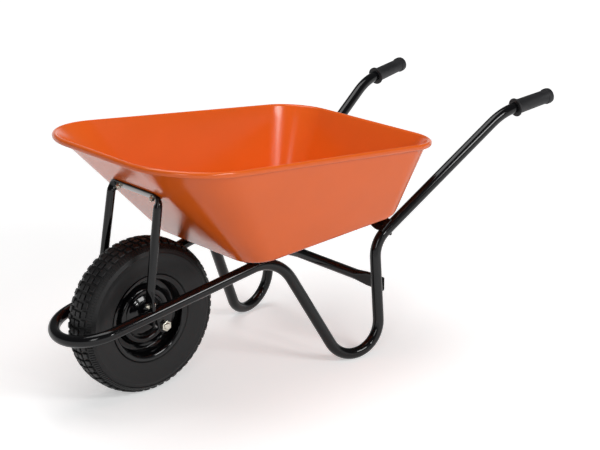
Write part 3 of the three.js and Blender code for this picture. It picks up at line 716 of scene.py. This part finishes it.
def against_wall(ring, amount):
    """Moves a ring of the stay's top to the pan's front wall as far as it is pressed."""
    radius = sizes().stay_radius
    nearest = min((point - STAY_TOP).dot(FRONT_NORMAL) for point in ring)
    shift = max(-radius - nearest, amount * (STAY_FLAT / 2 - radius))
    return [point + shift * FRONT_NORMAL for point in ring]


def stay_rings():
    """The rings of the stay's left half, from its flat foot to the middle of its flat top."""
    up = (STAY_CORNER - STAY_KNEE).normalized()
    forward = up.cross(ACROSS).normalized()
    corner = bend(
        STAY_KNEE, STAY_CORNER, other_side(STAY_CORNER), STAY_CORNER_RADIUS, STAY_BEND_STEP
    )
    rings = [pressed_ring(point, UP, AHEAD, 1) for point in evenly(STAY_FOOT, STAY_KNEE, FOOT_STEP)]
    for point in evenly(STAY_KNEE, corner[0], LEG_STEP):
        amount = ease(1 - (point - STAY_KNEE).length / STAY_EASING)
        rings.append(pressed_ring(point, up, forward, amount))
    for k, point in enumerate(corner):
        share = k / (len(corner) - 1)
        pressed = ease(share)
        heading = up.slerp(ACROSS, share)
        ring = pressed_ring(point, heading, forward.lerp(FRONT_NORMAL, pressed), pressed)
        rings.append(against_wall(ring, pressed))
    for point in evenly(corner[-1], STAY_TOP, TOP_STEP)[1:]:
        rings.append(against_wall(pressed_ring(point, ACROSS, FRONT_NORMAL, 1), 1))
    return rings


def pressed_stay():
    """The stay's tube, whose pressing changes from ring to ring, so its rings are laid in code."""
    left = stay_rings()
    right = [[other_side(point) for point in ring] for ring in reversed(left)]
    stay = moulded("front_stay_pressed", left + right)
    fill_openings(stay)
    close_facing_out()
    return smooth(stay, 50)


class WHEELBARROW_OT_front_stay(bpy.types.Operator):
    """Bend and press the front stay"""

    bl_idname = "wheelbarrow.front_stay"
    bl_label = "Front Stay"

    def execute(self, context):
        dress(pressed_stay(), "black_paint", "barrow", "front_stay")
        return {"FINISHED"}


# Fixings, in millimetres

M8_FLATS = 13
M8_RADIUS = 4
M8_PITCH = 1.25
M8_NUT_HEIGHT = 6.5
M8_HEAD_HEIGHT = 5.3
THREAD_START = 0.4
THREAD_DEPTH = 0.55
TIP_LENGTH = 0.8
# Shares of a nut's width and height that its chamfer takes.
CHAMFER_WIDTH, CHAMFER_HEIGHT = 0.07, 0.09
NUT_EDGE = 0.4
# The lug's corners are rounded by this share of half its width.
LUG_ROUND = 0.7
LUG_ARC_STEPS = 8


def level(face):
    """Tells whether a face looks up or down."""
    return abs(face.normal.z) > 0.9


def hex_nut(name, across_flats, height, bore):
    """A chamfered hexagon nut standing on the origin."""
    halfway = (0, 0, height / 2000)
    put_down()
    radius = across_flats / math.sqrt(3) / 1000
    bpy.ops.mesh.primitive_cylinder_add(
        vertices=6, radius=radius, depth=height / 1000, location=halfway
    )
    nut = settle(bpy.context.object)
    open_up(nut, "FACE")
    choose(nut, "FACE", level)
    bpy.ops.mesh.inset(thickness=across_flats * CHAMFER_WIDTH / 1000, use_individual=True)
    choose(nut, "FACE", lambda face: level(face) and len(face.verts) == 6)
    # The bore's edge is a hexagon halfway between the chamfer and the thread.
    bpy.ops.mesh.inset(thickness=(across_flats / 2 - bore) / 2000, use_individual=True)
    bpy.ops.mesh.delete(type="FACE")
    # Lowering the outer corners turns the flat insets into the chamfers.
    corner = across_flats / 2000 * 1.1
    choose(nut, "VERT", lambda vertex: vertex.co.to_2d().length > corner)
    lower = (1, 1, 1 - 2 * CHAMFER_HEIGHT)
    bpy.ops.transform.resize(value=lower, center_override=halfway)
    choose(nut, "EDGE", lambda edge: edge.is_boundary)
    bpy.ops.mesh.bridge_edge_loops()
    close_facing_out()
    round_edges(nut, NUT_EDGE / 1000, 25)
    return smooth(settle(nut, name), 40)


def threaded_end(name, radius, shank):
    """The end of a bolt with its thread, standing on the origin."""
    profile = [(0, 0), (radius, 0)]
    height = THREAD_START
    while height < shank - M8_PITCH:
        profile += [(radius, height), (radius - THREAD_DEPTH, height + M8_PITCH / 2)]
        height += M8_PITCH
    profile += [(radius - 0.2, shank - TIP_LENGTH), (radius - 1, shank), (0, shank)]
    return smooth(turned(name, profile, steps=24), 40)


def hex_head_bolt(name, across_flats, head_height, radius, shank):
    """A hexagon bolt: its head stands back from the origin and its shank along +Z."""
    head = hex_nut(name + "_head", across_flats, head_height, bore=1.2)
    head.location.z = -head_height / 1000
    settle(head)
    rod = threaded_end(name + "_rod", radius, shank)
    return joined(name, head, rod)


def rounded_end(half_width, height):
    """An upright plate's outline with a round top."""
    corner = half_width * LUG_ROUND
    points = [(-half_width, 0), (half_width, 0)]
    for centre, first in ((half_width - corner, 0), (corner - half_width, 90)):
        for k in range(LUG_ARC_STEPS + 1):
            angle = math.radians(first + 90 * k / LUG_ARC_STEPS)
            x, y = corner * math.cos(angle), corner * math.sin(angle)
            points.append((centre + x, height - corner + y))
    return points


class WHEELBARROW_OT_stay_fixings(bpy.types.Operator):
    """Weld the lugs and bolt the stay to them and to the pan"""

    bl_idname = "wheelbarrow.stay_fixings"
    bl_label = "Stay Fixings"

    def execute(self, context):
        low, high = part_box("stay_lug_left")
        size = (high - low) * 1000
        lug = plate("stay_lug_plate_left", rounded_end(size.y / 2, size.z), size.x)
        start = Vector((low.x, (low.y + high.y) / 2, low.z))
        stood_plate(lug, start, ACROSS, -AHEAD)
        dress_pair(lug, "stay_lug_plate_right", "black_paint", "stay_lug")
        for name in HANDS:
            self.foot_fixing(name)
            self.wall_fixing(name)
        return {"FINISHED"}

    def foot_fixing(self, name):
        """Bolts a foot of the stay to its lug, with the nut in front."""
        nut_low, nut_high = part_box(f"stay_foot_nut_{name}")
        bolt_low, bolt_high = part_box(f"stay_foot_bolt_{name}")
        y, z = (nut_low.y + nut_high.y) / 2, (nut_low.z + nut_high.z) / 2
        nut_height = (nut_high.x - nut_low.x) * 1000
        nut = hex_nut(f"stay_foot_hex_nut_{name}", M8_FLATS, nut_height, M8_RADIUS)
        stood(nut, Vector((nut_high.x, y, z)), AHEAD)
        dress(nut, "zinc", "barrow", f"stay_foot_nut_{name}")
        seat = bolt_high.x - M8_HEAD_HEIGHT / 1000
        shank = (seat - bolt_low.x) * 1000
        bolt = hex_head_bolt(
            f"stay_foot_hex_bolt_{name}", M8_FLATS, M8_HEAD_HEIGHT, M8_RADIUS, shank
        )
        stood(bolt, Vector((seat, y, z)), AHEAD)
        dress(bolt, "zinc", "barrow", f"stay_foot_bolt_{name}")

    def wall_fixing(self, name):
        """Puts a nut on the stay's top in front of the pan."""
        nut_low, nut_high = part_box(f"pan_front_nut_{name}")
        start = (nut_low + nut_high) / 2 - FRONT_NORMAL * M8_NUT_HEIGHT / 2000
        nut = hex_nut(f"pan_front_hex_nut_{name}", M8_FLATS, M8_NUT_HEIGHT, M8_RADIUS)
        dress(stood(nut, start, FRONT_NORMAL), "zinc", "barrow", f"pan_front_nut_{name}")


# Axle and brackets, in millimetres but for the axle's place

AXLE = spot(-482.934, 0, 199.903)
AXLE_RADIUS = 8
AXLE_WAIST = 7.5
AXLE_CHAMFER = 1.4
AXLE_THREAD = 14
AXLE_NUT_FLATS = 24
SLEEVE_BORE = 8.3
SLEEVE_RADIUS = 11.3
SLEEVE_CHAMFER = 0.6
BRACKET_HALF_WIDTH = 31
BRACKET_FOOT_RADIUS = 19
BRACKET_EDGE = 0.8
FOOT_ARC_STEPS = 16


def on_axle(low, high, hand):
    """The point of the axle's line where a box on this side begins."""
    return Vector((AXLE.x, low.y if hand > 0 else high.y, AXLE.z))


def sleeve_profile(bore, radius, chamfer, long):
    """The profile of a tube whose outer edges are chamfered."""
    start = [(bore, 0), (radius - chamfer, 0), (radius, chamfer)]
    return start + [(radius, long - chamfer), (radius - chamfer, long), (bore, long)]


class WHEELBARROW_OT_axle_set(bpy.types.Operator):
    """Cut and weld the axle brackets and fit the axle with its nuts"""

    bl_idname = "wheelbarrow.axle_set"
    bl_label = "Axle and Brackets"

    def execute(self, context):
        self.brackets()
        for name, hand in HANDS.items():
            self.nut(name, hand)
            self.sleeve(name, hand)
        self.axle()
        return {"FINISHED"}

    def nut(self, name, hand):
        """Puts the nut outside the bracket."""
        low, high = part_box(f"axle_nut_{name}")
        height = (high.y - low.y) * 1000
        nut = hex_nut(f"axle_hex_nut_{name}", AXLE_NUT_FLATS, height, AXLE_RADIUS)
        stood(nut, on_axle(low, high, hand), ACROSS * hand)
        dress(nut, "zinc", "barrow", f"axle_nut_{name}")

    def sleeve(self, name, hand):
        """Slips the spacer on between the bracket and the wheel's bearing."""
        low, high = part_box(f"axle_spacer_{name}")
        long = (high.y - low.y) * 1000
        profile = sleeve_profile(SLEEVE_BORE, SLEEVE_RADIUS, SLEEVE_CHAMFER, long)
        sleeve = turned(f"axle_sleeve_{name}", profile, steps=40, closed=True)
        stood(sleeve, on_axle(low, high, hand), ACROSS * hand)
        dress(smooth(sleeve), "black_paint", "barrow", f"axle_spacer_{name}")

    def brackets(self):
        """Cuts the plates that hang the axle under the rails, each with a round foot."""
        low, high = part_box("axle_bracket_left")
        top = (high.z - AXLE.z) * 1000
        turns = [math.pi + math.pi * k / FOOT_ARC_STEPS for k in range(FOOT_ARC_STEPS + 1)]
        radius = BRACKET_FOOT_RADIUS
        foot = [(radius * math.cos(turn), radius * math.sin(turn)) for turn in turns]
        outline = [(-BRACKET_HALF_WIDTH, top), *foot, (BRACKET_HALF_WIDTH, top)]
        thickness = (high.y - low.y) * 1000
        left = plate("axle_bracket_plate_left", outline, thickness, BRACKET_EDGE / 1000)
        stood_plate(left, on_axle(low, high, -1), -AHEAD, -ACROSS)
        dress_pair(left, "axle_bracket_plate_right", "black_paint", "axle_bracket")

    def axle(self):
        """Turns the axle, with a thinner middle between its threads."""
        low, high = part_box("axle")
        long = (high.y - low.y) * 1000
        half = [(0, 0), (AXLE_RADIUS - AXLE_CHAMFER, 0), (AXLE_RADIUS, AXLE_CHAMFER)]
        waist = AXLE_THREAD + AXLE_RADIUS - AXLE_WAIST
        half += [(AXLE_RADIUS, AXLE_THREAD), (AXLE_WAIST, waist)]
        profile = half + [(radius, long - height) for radius, height in reversed(half)]
        rod = smooth(turned("axle_rod", profile, steps=40))
        dress(stood(rod, on_axle(low, high, 1), ACROSS), "zinc", "barrow", "axle")


# Wheel

# Radius and distance from the wheel's middle plane, in millimetres: outside, then inside.
HALF_TYRE = [
    (195.0, 0.0), (195.0, 2.0), (194.8, 15.5), (194.0, 19.0), (190.0, 32.5), (187.6, 35.5),
    (184.2, 40.2), (178.5, 44.6), (174.5, 46.2), (170.2, 46.9), (169.2, 47.8), (167.6, 47.8),
    (166.6, 47.2), (156.0, 47.9), (144.0, 46.9), (132.0, 44.2), (122.0, 41.6), (116.5, 41.4),
    (114.6, 39.6), (113.4, 37.2), (104.5, 34.4), (102.2, 31.0), (102.2, 27.0),
    (105.0, 25.5), (112.0, 30.0), (124.0, 36.0), (140.0, 40.8), (156.0, 41.8), (172.0, 38.5),
    (184.0, 27.0), (188.6, 12.0), (189.0, 0.0),
]
TREAD_COLUMNS = 12
# Each kind of block: its inner and outer side in millimetres, and its first and last column.
MIDDLE_BLOCK = (2.0, 15.5, 0, 8)
OUTER_BLOCK = (19.0, 32.5, 3, 11)
SHOULDER_RIBS = [(35.5, 44.6, 0, 3), (35.5, 44.6, 4, 7), (35.5, 44.6, 8, 11)]
BLOCK_EDGE = 0.0013
RIB_HEIGHT, RIB_EDGE = 0.0022, 0.0004
# The tyre's outside lies beyond this radius or this side, and its tread ends at a lower radius.
TREAD_BEYOND, SHOULDER_BEYOND, TREAD_END = 190, 34, 176
# How far a face of the shoulder may look inwards.
LEAST_OUTWARD = -0.2


class WHEELBARROW_OT_tyre(bpy.types.Operator):
    """Mould the tyre with its tread"""

    bl_idname = "wheelbarrow.tyre"
    bl_label = "Tyre"

    def execute(self, context):
        piece = self.one_pitch()
        count = sizes().tread_blocks
        open_up(piece)
        bpy.ops.mesh.spin(
            steps=count - 1,
            dupli=True,
            angle=2 * math.pi * (count - 1) / count,
            center=(0, 0, 0),
            axis=(0, 0, 1),
        )
        close_up()
        close_seams(piece, 2 * SEAM)
        smooth(stood(piece, AXLE, -ACROSS), 38)
        settle(piece, "tyre_moulded")
        dress(piece, "tyre_rubber", "wheel", "tyre")
        return {"FINISHED"}

    def one_pitch(self):
        """One pitch of the tyre with its blocks and shoulder ribs raised."""
        profile = HALF_TYRE + [(radius, -side) for radius, side in reversed(HALF_TYRE[1:-1])]
        pitch = 2 * math.pi / sizes().tread_blocks
        wedge = drawn_line([spot(radius, 0, side) for radius, side in profile], closed=True)
        open_up(wedge)
        bpy.ops.mesh.spin(steps=TREAD_COLUMNS, angle=pitch, center=(0, 0, 0), axis=(0, 0, 1))
        bpy.ops.mesh.select_all(action="SELECT")
        bpy.ops.mesh.remove_doubles(threshold=SAME_POINT)
        close_up()
        self.face_pitch_outwards(wedge)
        for block in (MIDDLE_BLOCK, OUTER_BLOCK):
            self.raise_block(wedge, pitch, block, sizes().tread_depth, BLOCK_EDGE)
        for rib in SHOULDER_RIBS:
            self.raise_block(wedge, pitch, rib, RIB_HEIGHT, RIB_EDGE)
        return wedge

    def face_pitch_outwards(self, wedge):
        """Turns the open wedge's faces out of the rubber."""
        open_up(wedge, "FACE")
        bpy.ops.mesh.normals_make_consistent(inside=False)
        mesh = bmesh.from_edit_mesh(wedge.data)
        crown = max(mesh.faces, key=lambda face: middle(face).to_2d().length)
        if crown.normal.to_2d().dot(middle(crown).to_2d()) < 0:
            bpy.ops.mesh.flip_normals()
        close_up()

    def raise_block(self, wedge, pitch, block, height, edge):
        """Raises a block on both halves of the tyre and bevels its edge."""
        for hand in HANDS.values():
            open_up(wedge, "FACE")
            choose(wedge, "FACE", lambda face: self.in_block(face, pitch, block, hand))
            swelling = {"value": height}
            bpy.ops.mesh.extrude_region_shrink_fatten(TRANSFORM_OT_shrink_fatten=swelling)
            bpy.ops.mesh.region_to_loop()
            bpy.ops.mesh.bevel(offset=edge, segments=1, affect="EDGES")
            close_up()

    def in_block(self, face, pitch, block, hand):
        """Tells whether a face lies on the tyre's outside, within the block."""
        inner, outer, first, last = block
        centre = middle(face)
        side = centre.z * 1000 * hand
        column = abs(math.atan2(centre.y, centre.x)) / pitch * TREAD_COLUMNS
        reach = centre.to_2d().length
        faces_out = face.normal.to_2d().dot(centre.to_2d()) > LEAST_OUTWARD * reach
        radius = reach * 1000
        outside = faces_out and (radius > TREAD_BEYOND or side > SHOULDER_BEYOND)
        return inner < side < outer and first < column < last and outside and radius > TREAD_END


# Radius and distance from the wheel's middle plane, in millimetres, from the hub to the flange.
RIM_LINE = [
    (17.6, 25.0), (27.0, 24.2), (37.0, 21.4), (46.0, 17.0), (53.5, 12.4), (57.0, 13.0),
    (60.5, 18.4), (70.3, 17.4), (76.3, 8.5), (79.3, 1.2), (93.6, 1.2), (100.6, 10.2),
    (100.6, 34.7), (105.6, 38.2), (112.6, 39.7),
]
RIM_ROUNDING = 2.2
RIM_SHEET = 0.002


class WHEELBARROW_OT_rims(bpy.types.Operator):
    """Press the two halves of the rim"""

    bl_idname = "wheelbarrow.rims"
    bl_label = "Rims"

    def execute(self, context):
        half = face_outwards(turned("rim_half", RIM_LINE, steps=144, rounding=RIM_ROUNDING))
        finish_with(half, "SOLIDIFY", thickness=RIM_SHEET, offset=0)
        smooth(half, 40)
        for name, hand in HANDS.items():
            piece = copy_of(half, f"rim_pressed_{name}")
            stood(piece, AXLE, ACROSS * hand)
            dress(piece, "black_paint", "wheel", f"rim_{name}")
        pick(half)
        bpy.ops.object.delete()
        return {"FINISHED"}


HUB_BORE = 14.5
HUB_RADIUS = 17
HUB_CHAMFER = 1
BEARING_SEAT = 20


class WHEELBARROW_OT_hub(bpy.types.Operator):
    """Turn the hub tube"""

    bl_idname = "wheelbarrow.hub"
    bl_label = "Hub"

    def execute(self, context):
        low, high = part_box("wheel_hub")
        long = (high.y - low.y) * 1000
        profile = sleeve_profile(HUB_BORE, HUB_RADIUS, HUB_CHAMFER, long)
        profile += [(HUB_BORE, long - BEARING_SEAT), (HUB_BORE, BEARING_SEAT)]
        hub = smooth(turned("hub_turned", profile, steps=64, closed=True))
        stood(hub, on_axle(low, high, 1), ACROSS)
        dress(hub, "black_paint", "wheel", "wheel_hub")
        return {"FINISHED"}


# Grips

# Radius and height from the collar up, in millimetres: outside, then the bore's end.
GRIP_PROFILE = [
    (15.4, 0), (24.4, 0), (26, 1.6), (26, 3.4), (24.4, 5), (21.5, 6.2), (20.5, 9), (20.2, 40),
    (19.8, 80), (19.4, 112), (19.8, 113.5), (21.6, 114.6), (22, 116), (22, 126), (20.6, 131),
    (17.5, 133.4), (12, 134), (0, 134), (0, 130.2), (15.4, 130.2),
]
GRIP_OVERLAP = 0.1297


class WHEELBARROW_OT_grips(bpy.types.Operator):
    """Mould the grips on the handles"""

    bl_idname = "wheelbarrow.grips"
    bl_label = "Grips"

    def execute(self, context):
        heading = (FRAME_CORNERS[0] - FRAME_CORNERS[1]).normalized()
        start = FRAME_CORNERS[0] - heading * GRIP_OVERLAP
        grip = turned("grip_moulded_left", GRIP_PROFILE, steps=64, closed=True)
        smooth(stood(grip, start, heading), 30)
        dress_pair(grip, "grip_moulded_right", "grip_rubber", "grip")
        return {"FINISHED"}


# Bearer, strap and brace


class WHEELBARROW_OT_cross_members(bpy.types.Operator):
    """Round the edges of the bearer, the rear strap and the leg brace"""

    bl_idname = "wheelbarrow.cross_members"
    bl_label = "Bearer, Strap and Brace"

    def execute(self, context):
        for name in ("pan_bearer", "rear_strap", "leg_brace"):
            self.soften(name)
        return {"FINISHED"}

    def soften(self, name):
        """Takes a CAD solid's copy with its seams closed and its cut edges rounded."""
        piece = close_seams(copy_of(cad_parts[name], name + "_rounded"))
        round_edges(piece, sizes().edge_round, 35)
        smooth(settle(piece), 40)
        dress(piece, "black_paint", "barrow", name)


# CAD solids that stay


def left_and_right(*names):
    return [f"{name}_{hand}" for name in names for hand in HANDS]


KEPT = {
    "zinc": left_and_right("pan_front_bolt", "pan_front_washer", "pan_floor_stud", "pan_floor_nut"),
    "black_paint": left_and_right("strap_bolt", "strap_nut"),
    "bearing_steel": left_and_right("wheel_bearing"),
    "tube_rubber": ["inner_tube", "valve", "valve_cap"],
}


class WHEELBARROW_OT_kept_solids(bpy.types.Operator):
    """Finish the small CAD solids that stay"""

    bl_idname = "wheelbarrow.kept_solids"
    bl_label = "Small Parts"

    def execute(self, context):
        for slot, names in KEPT.items():
            for name in names:
                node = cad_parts[name]
                for place in node.material_slots:
                    place.material = material_for(slot)
        return {"FINISHED"}


# Stage, in metres and watts

FLOOR_SIZE = 60
FLOOR_ROUGHNESS = 0.9
# The floor's own glow rises between these distances from the barrow.
NEAR, FAR = 0.9, 4.5
GLOW_NEAR, GLOW_FAR = 0.42, 0.95
# The backdrop fades into the dim room between these heights in the sky.
ROOM_LIGHT = 0.14
BACKDROP_TOP, ROOM_START = math.sin(math.radians(8)), math.sin(math.radians(14))

LAMP_TARGET = Vector((0, 0, 0.3))
# Each lamp's place, width and height, and power.
LAMPS = {
    "overhead_softbox": ((-0.2, 0.4, 3.2), (2.4, 2.0), 54),
    "left_softbox": ((-2.85, -2.25, 1.9), (0.8, 1.3), 18),
    "right_softbox": ((0.72, -3.2, 2.25), (1.25, 0.8), 48),
    "near_strip": ((-0.45, -3.7, 1.75), (0.3, 0.35), 11),
}

# The photo's camera, found from its lines. It looks from the left and the front, and a little down.
CAMERA_TARGET = spot(38.3, 0, 321.2)
CAMERA_DISTANCE = 3.6737
CAMERA_AZIMUTH = math.radians(-41.78)
CAMERA_ELEVATION = math.radians(18.39)
CAMERA_ROLL = math.radians(0.26)
CAMERA_LENS = 80.98
CAMERA_SENSOR = 36
CAMERA_SHIFT = (0.0046, -0.0004)


class WHEELBARROW_OT_stage(bpy.types.Operator):
    """Set the floor, the lamps and the camera"""

    bl_idname = "wheelbarrow.stage"
    bl_label = "Stage"

    def execute(self, context):
        self.floor()
        self.lamps()
        self.world(context.scene)
        self.camera(context.scene)
        context.scene.view_settings.view_transform = "Standard"
        return {"FINISHED"}

    def floor(self):
        """Lays a white floor: the lamps light it near the barrow, and further out it glows."""
        put_down()
        bpy.ops.mesh.primitive_plane_add(size=FLOOR_SIZE, location=(0, 0, 0))
        floor = bpy.context.object
        floor.name = "studio_floor"
        # Matt white paint: it shows the barrow's soft shadow and no gloss.
        white = colours().floor_white[:]
        material, bsdf = finish_of("matt_white_studio_floor", white, FLOOR_ROUGHNESS)
        place = add_node(material, "ShaderNodeTexCoord").outputs["Object"]
        away = add_node(material, "ShaderNodeVectorMath", {"operation": "LENGTH"}, {0: place})
        strength = add_node(
            material,
            "ShaderNodeMapRange",
            {"From Min": NEAR, "From Max": FAR, "To Min": GLOW_NEAR, "To Max": GLOW_FAR},
            {"Value": away.outputs["Value"]},
        )
        glow = add_node(
            material,
            "ShaderNodeEmission",
            {"Color": (1, 1, 1, 1)},
            {"Strength": strength.outputs["Result"]},
        )
        none = add_node(material, "ShaderNodeEmission", {"Color": (0, 0, 0, 1), "Strength": 0.0})
        chosen = add_node(
            material,
            "ShaderNodeMixShader",
            links={0: self.shown(material), 1: none.outputs[0], 2: glow.outputs[0]},
        )
        both = add_node(
            material, "ShaderNodeAddShader", links={0: bsdf.outputs[0], 1: chosen.outputs[0]}
        )
        output = material.node_tree.nodes["Material Output"]
        material.node_tree.links.new(both.outputs[0], output.inputs["Surface"])
        floor.data.materials.append(material)

    def shown(self, owner):
        """One for rays that show the floor or the room, straight or in a reflection, else none."""
        seen = add_node(owner, "ShaderNodeLightPath").outputs
        shown = seen["Is Camera Ray"]
        for ray in ("Is Glossy Ray", "Is Transmission Ray"):
            links = {0: shown, 1: seen[ray]}
            either = add_node(owner, "ShaderNodeMath", {"operation": "MAXIMUM"}, links)
            shown = either.outputs[0]
        return shown

    def lamps(self):
        """Hangs the softboxes, all turned to the barrow."""
        for name, (place, size, power) in LAMPS.items():
            put_down()
            bpy.ops.object.light_add(type="AREA", location=place)
            lamp = bpy.context.object
            lamp.name = name
            lamp.data.shape = "RECTANGLE"
            lamp.data.size, lamp.data.size_y = size
            lamp.data.energy = power
            facing = LAMP_TARGET - Vector(place)
            lamp.rotation_euler = facing.to_track_quat("-Z", "Y").to_euler()

    def world(self, scene):
        """Stands a low white backdrop behind the floor, under a dim room."""
        world = bpy.data.worlds.new("studio_world")
        scene.world = world
        world.use_nodes = True
        background = world.node_tree.nodes["Background"]
        background.inputs["Color"].default_value = (1, 1, 1, 1)
        direction = add_node(world, "ShaderNodeTexCoord").outputs["Generated"]
        height = add_node(world, "ShaderNodeSeparateXYZ", links={"Vector": direction})
        backdrop = add_node(
            world,
            "ShaderNodeMapRange",
            {"From Min": BACKDROP_TOP, "From Max": ROOM_START, "To Min": 1.0, "To Max": ROOM_LIGHT},
            {"Value": height.outputs["Z"]},
        )
        strength = add_node(
            world,
            "ShaderNodeMapRange",
            {"To Min": ROOM_LIGHT},
            {"Value": self.shown(world), "To Max": backdrop.outputs["Result"]},
        )
        world.node_tree.links.new(strength.outputs["Result"], background.inputs["Strength"])

    def camera(self, scene):
        """Stands the camera where the photo was taken from."""
        put_down()
        bpy.ops.object.camera_add()
        camera = bpy.context.object
        camera.name = "photo_camera"
        level = math.cos(CAMERA_ELEVATION)
        back = Vector((
            math.sin(CAMERA_AZIMUTH) * level,
            -math.cos(CAMERA_AZIMUTH) * level,
            math.sin(CAMERA_ELEVATION),
        ))
        camera.location = CAMERA_TARGET + back * CAMERA_DISTANCE
        facing = (-back).to_track_quat("-Z", "Y").to_matrix()
        camera.rotation_euler = (facing @ Matrix.Rotation(CAMERA_ROLL, 3, "Z")).to_euler()
        camera.data.lens = CAMERA_LENS
        camera.data.sensor_width = CAMERA_SENSOR
        camera.data.shift_x, camera.data.shift_y = CAMERA_SHIFT
        scene.camera = camera


# The add-on

PIECES = [
    WHEELBARROW_OT_frame_tube,
    WHEELBARROW_OT_pan,
    WHEELBARROW_OT_front_stay,
    WHEELBARROW_OT_stay_fixings,
    WHEELBARROW_OT_cross_members,
    WHEELBARROW_OT_axle_set,
    WHEELBARROW_OT_tyre,
    WHEELBARROW_OT_rims,
    WHEELBARROW_OT_hub,
    WHEELBARROW_OT_grips,
    WHEELBARROW_OT_kept_solids,
    WHEELBARROW_OT_stage,
]


class WHEELBARROW_PT_panel(bpy.types.Panel):
    """The wheelbarrow's pieces in the sidebar"""

    bl_label = "Wheelbarrow"
    bl_idname = "WHEELBARROW_PT_panel"
    bl_space_type = "VIEW_3D"
    bl_region_type = "UI"
    bl_category = "Wheelbarrow"

    def draw(self, context):
        layout = self.layout
        for group in (context.scene.wheelbarrow_sizes, context.scene.wheelbarrow_colours):
            for name in group.__annotations__:
                layout.prop(group, name)
        for operator in PIECES:
            layout.operator(operator.bl_idname)


CLASSES = [WheelbarrowSizes, WheelbarrowColours, *PIECES, WHEELBARROW_PT_panel]


def register():
    for cls in CLASSES:
        bpy.utils.register_class(cls)
    bpy.types.Scene.wheelbarrow_sizes = bpy.props.PointerProperty(type=WheelbarrowSizes)
    bpy.types.Scene.wheelbarrow_colours = bpy.props.PointerProperty(type=WheelbarrowColours)


def unregister():
    del bpy.types.Scene.wheelbarrow_sizes
    del bpy.types.Scene.wheelbarrow_colours
    for cls in reversed(CLASSES):
        bpy.utils.unregister_class(cls)


def corners(box):
    return [list(corner) for corner in box]


def main():
    """Registers the add-on and makes every piece."""
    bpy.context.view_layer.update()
    register()
    for operator in PIECES:
        group, name = operator.bl_idname.split(".")
        getattr(getattr(bpy.ops, group), name)()


if __name__ == "__main__":
    main()
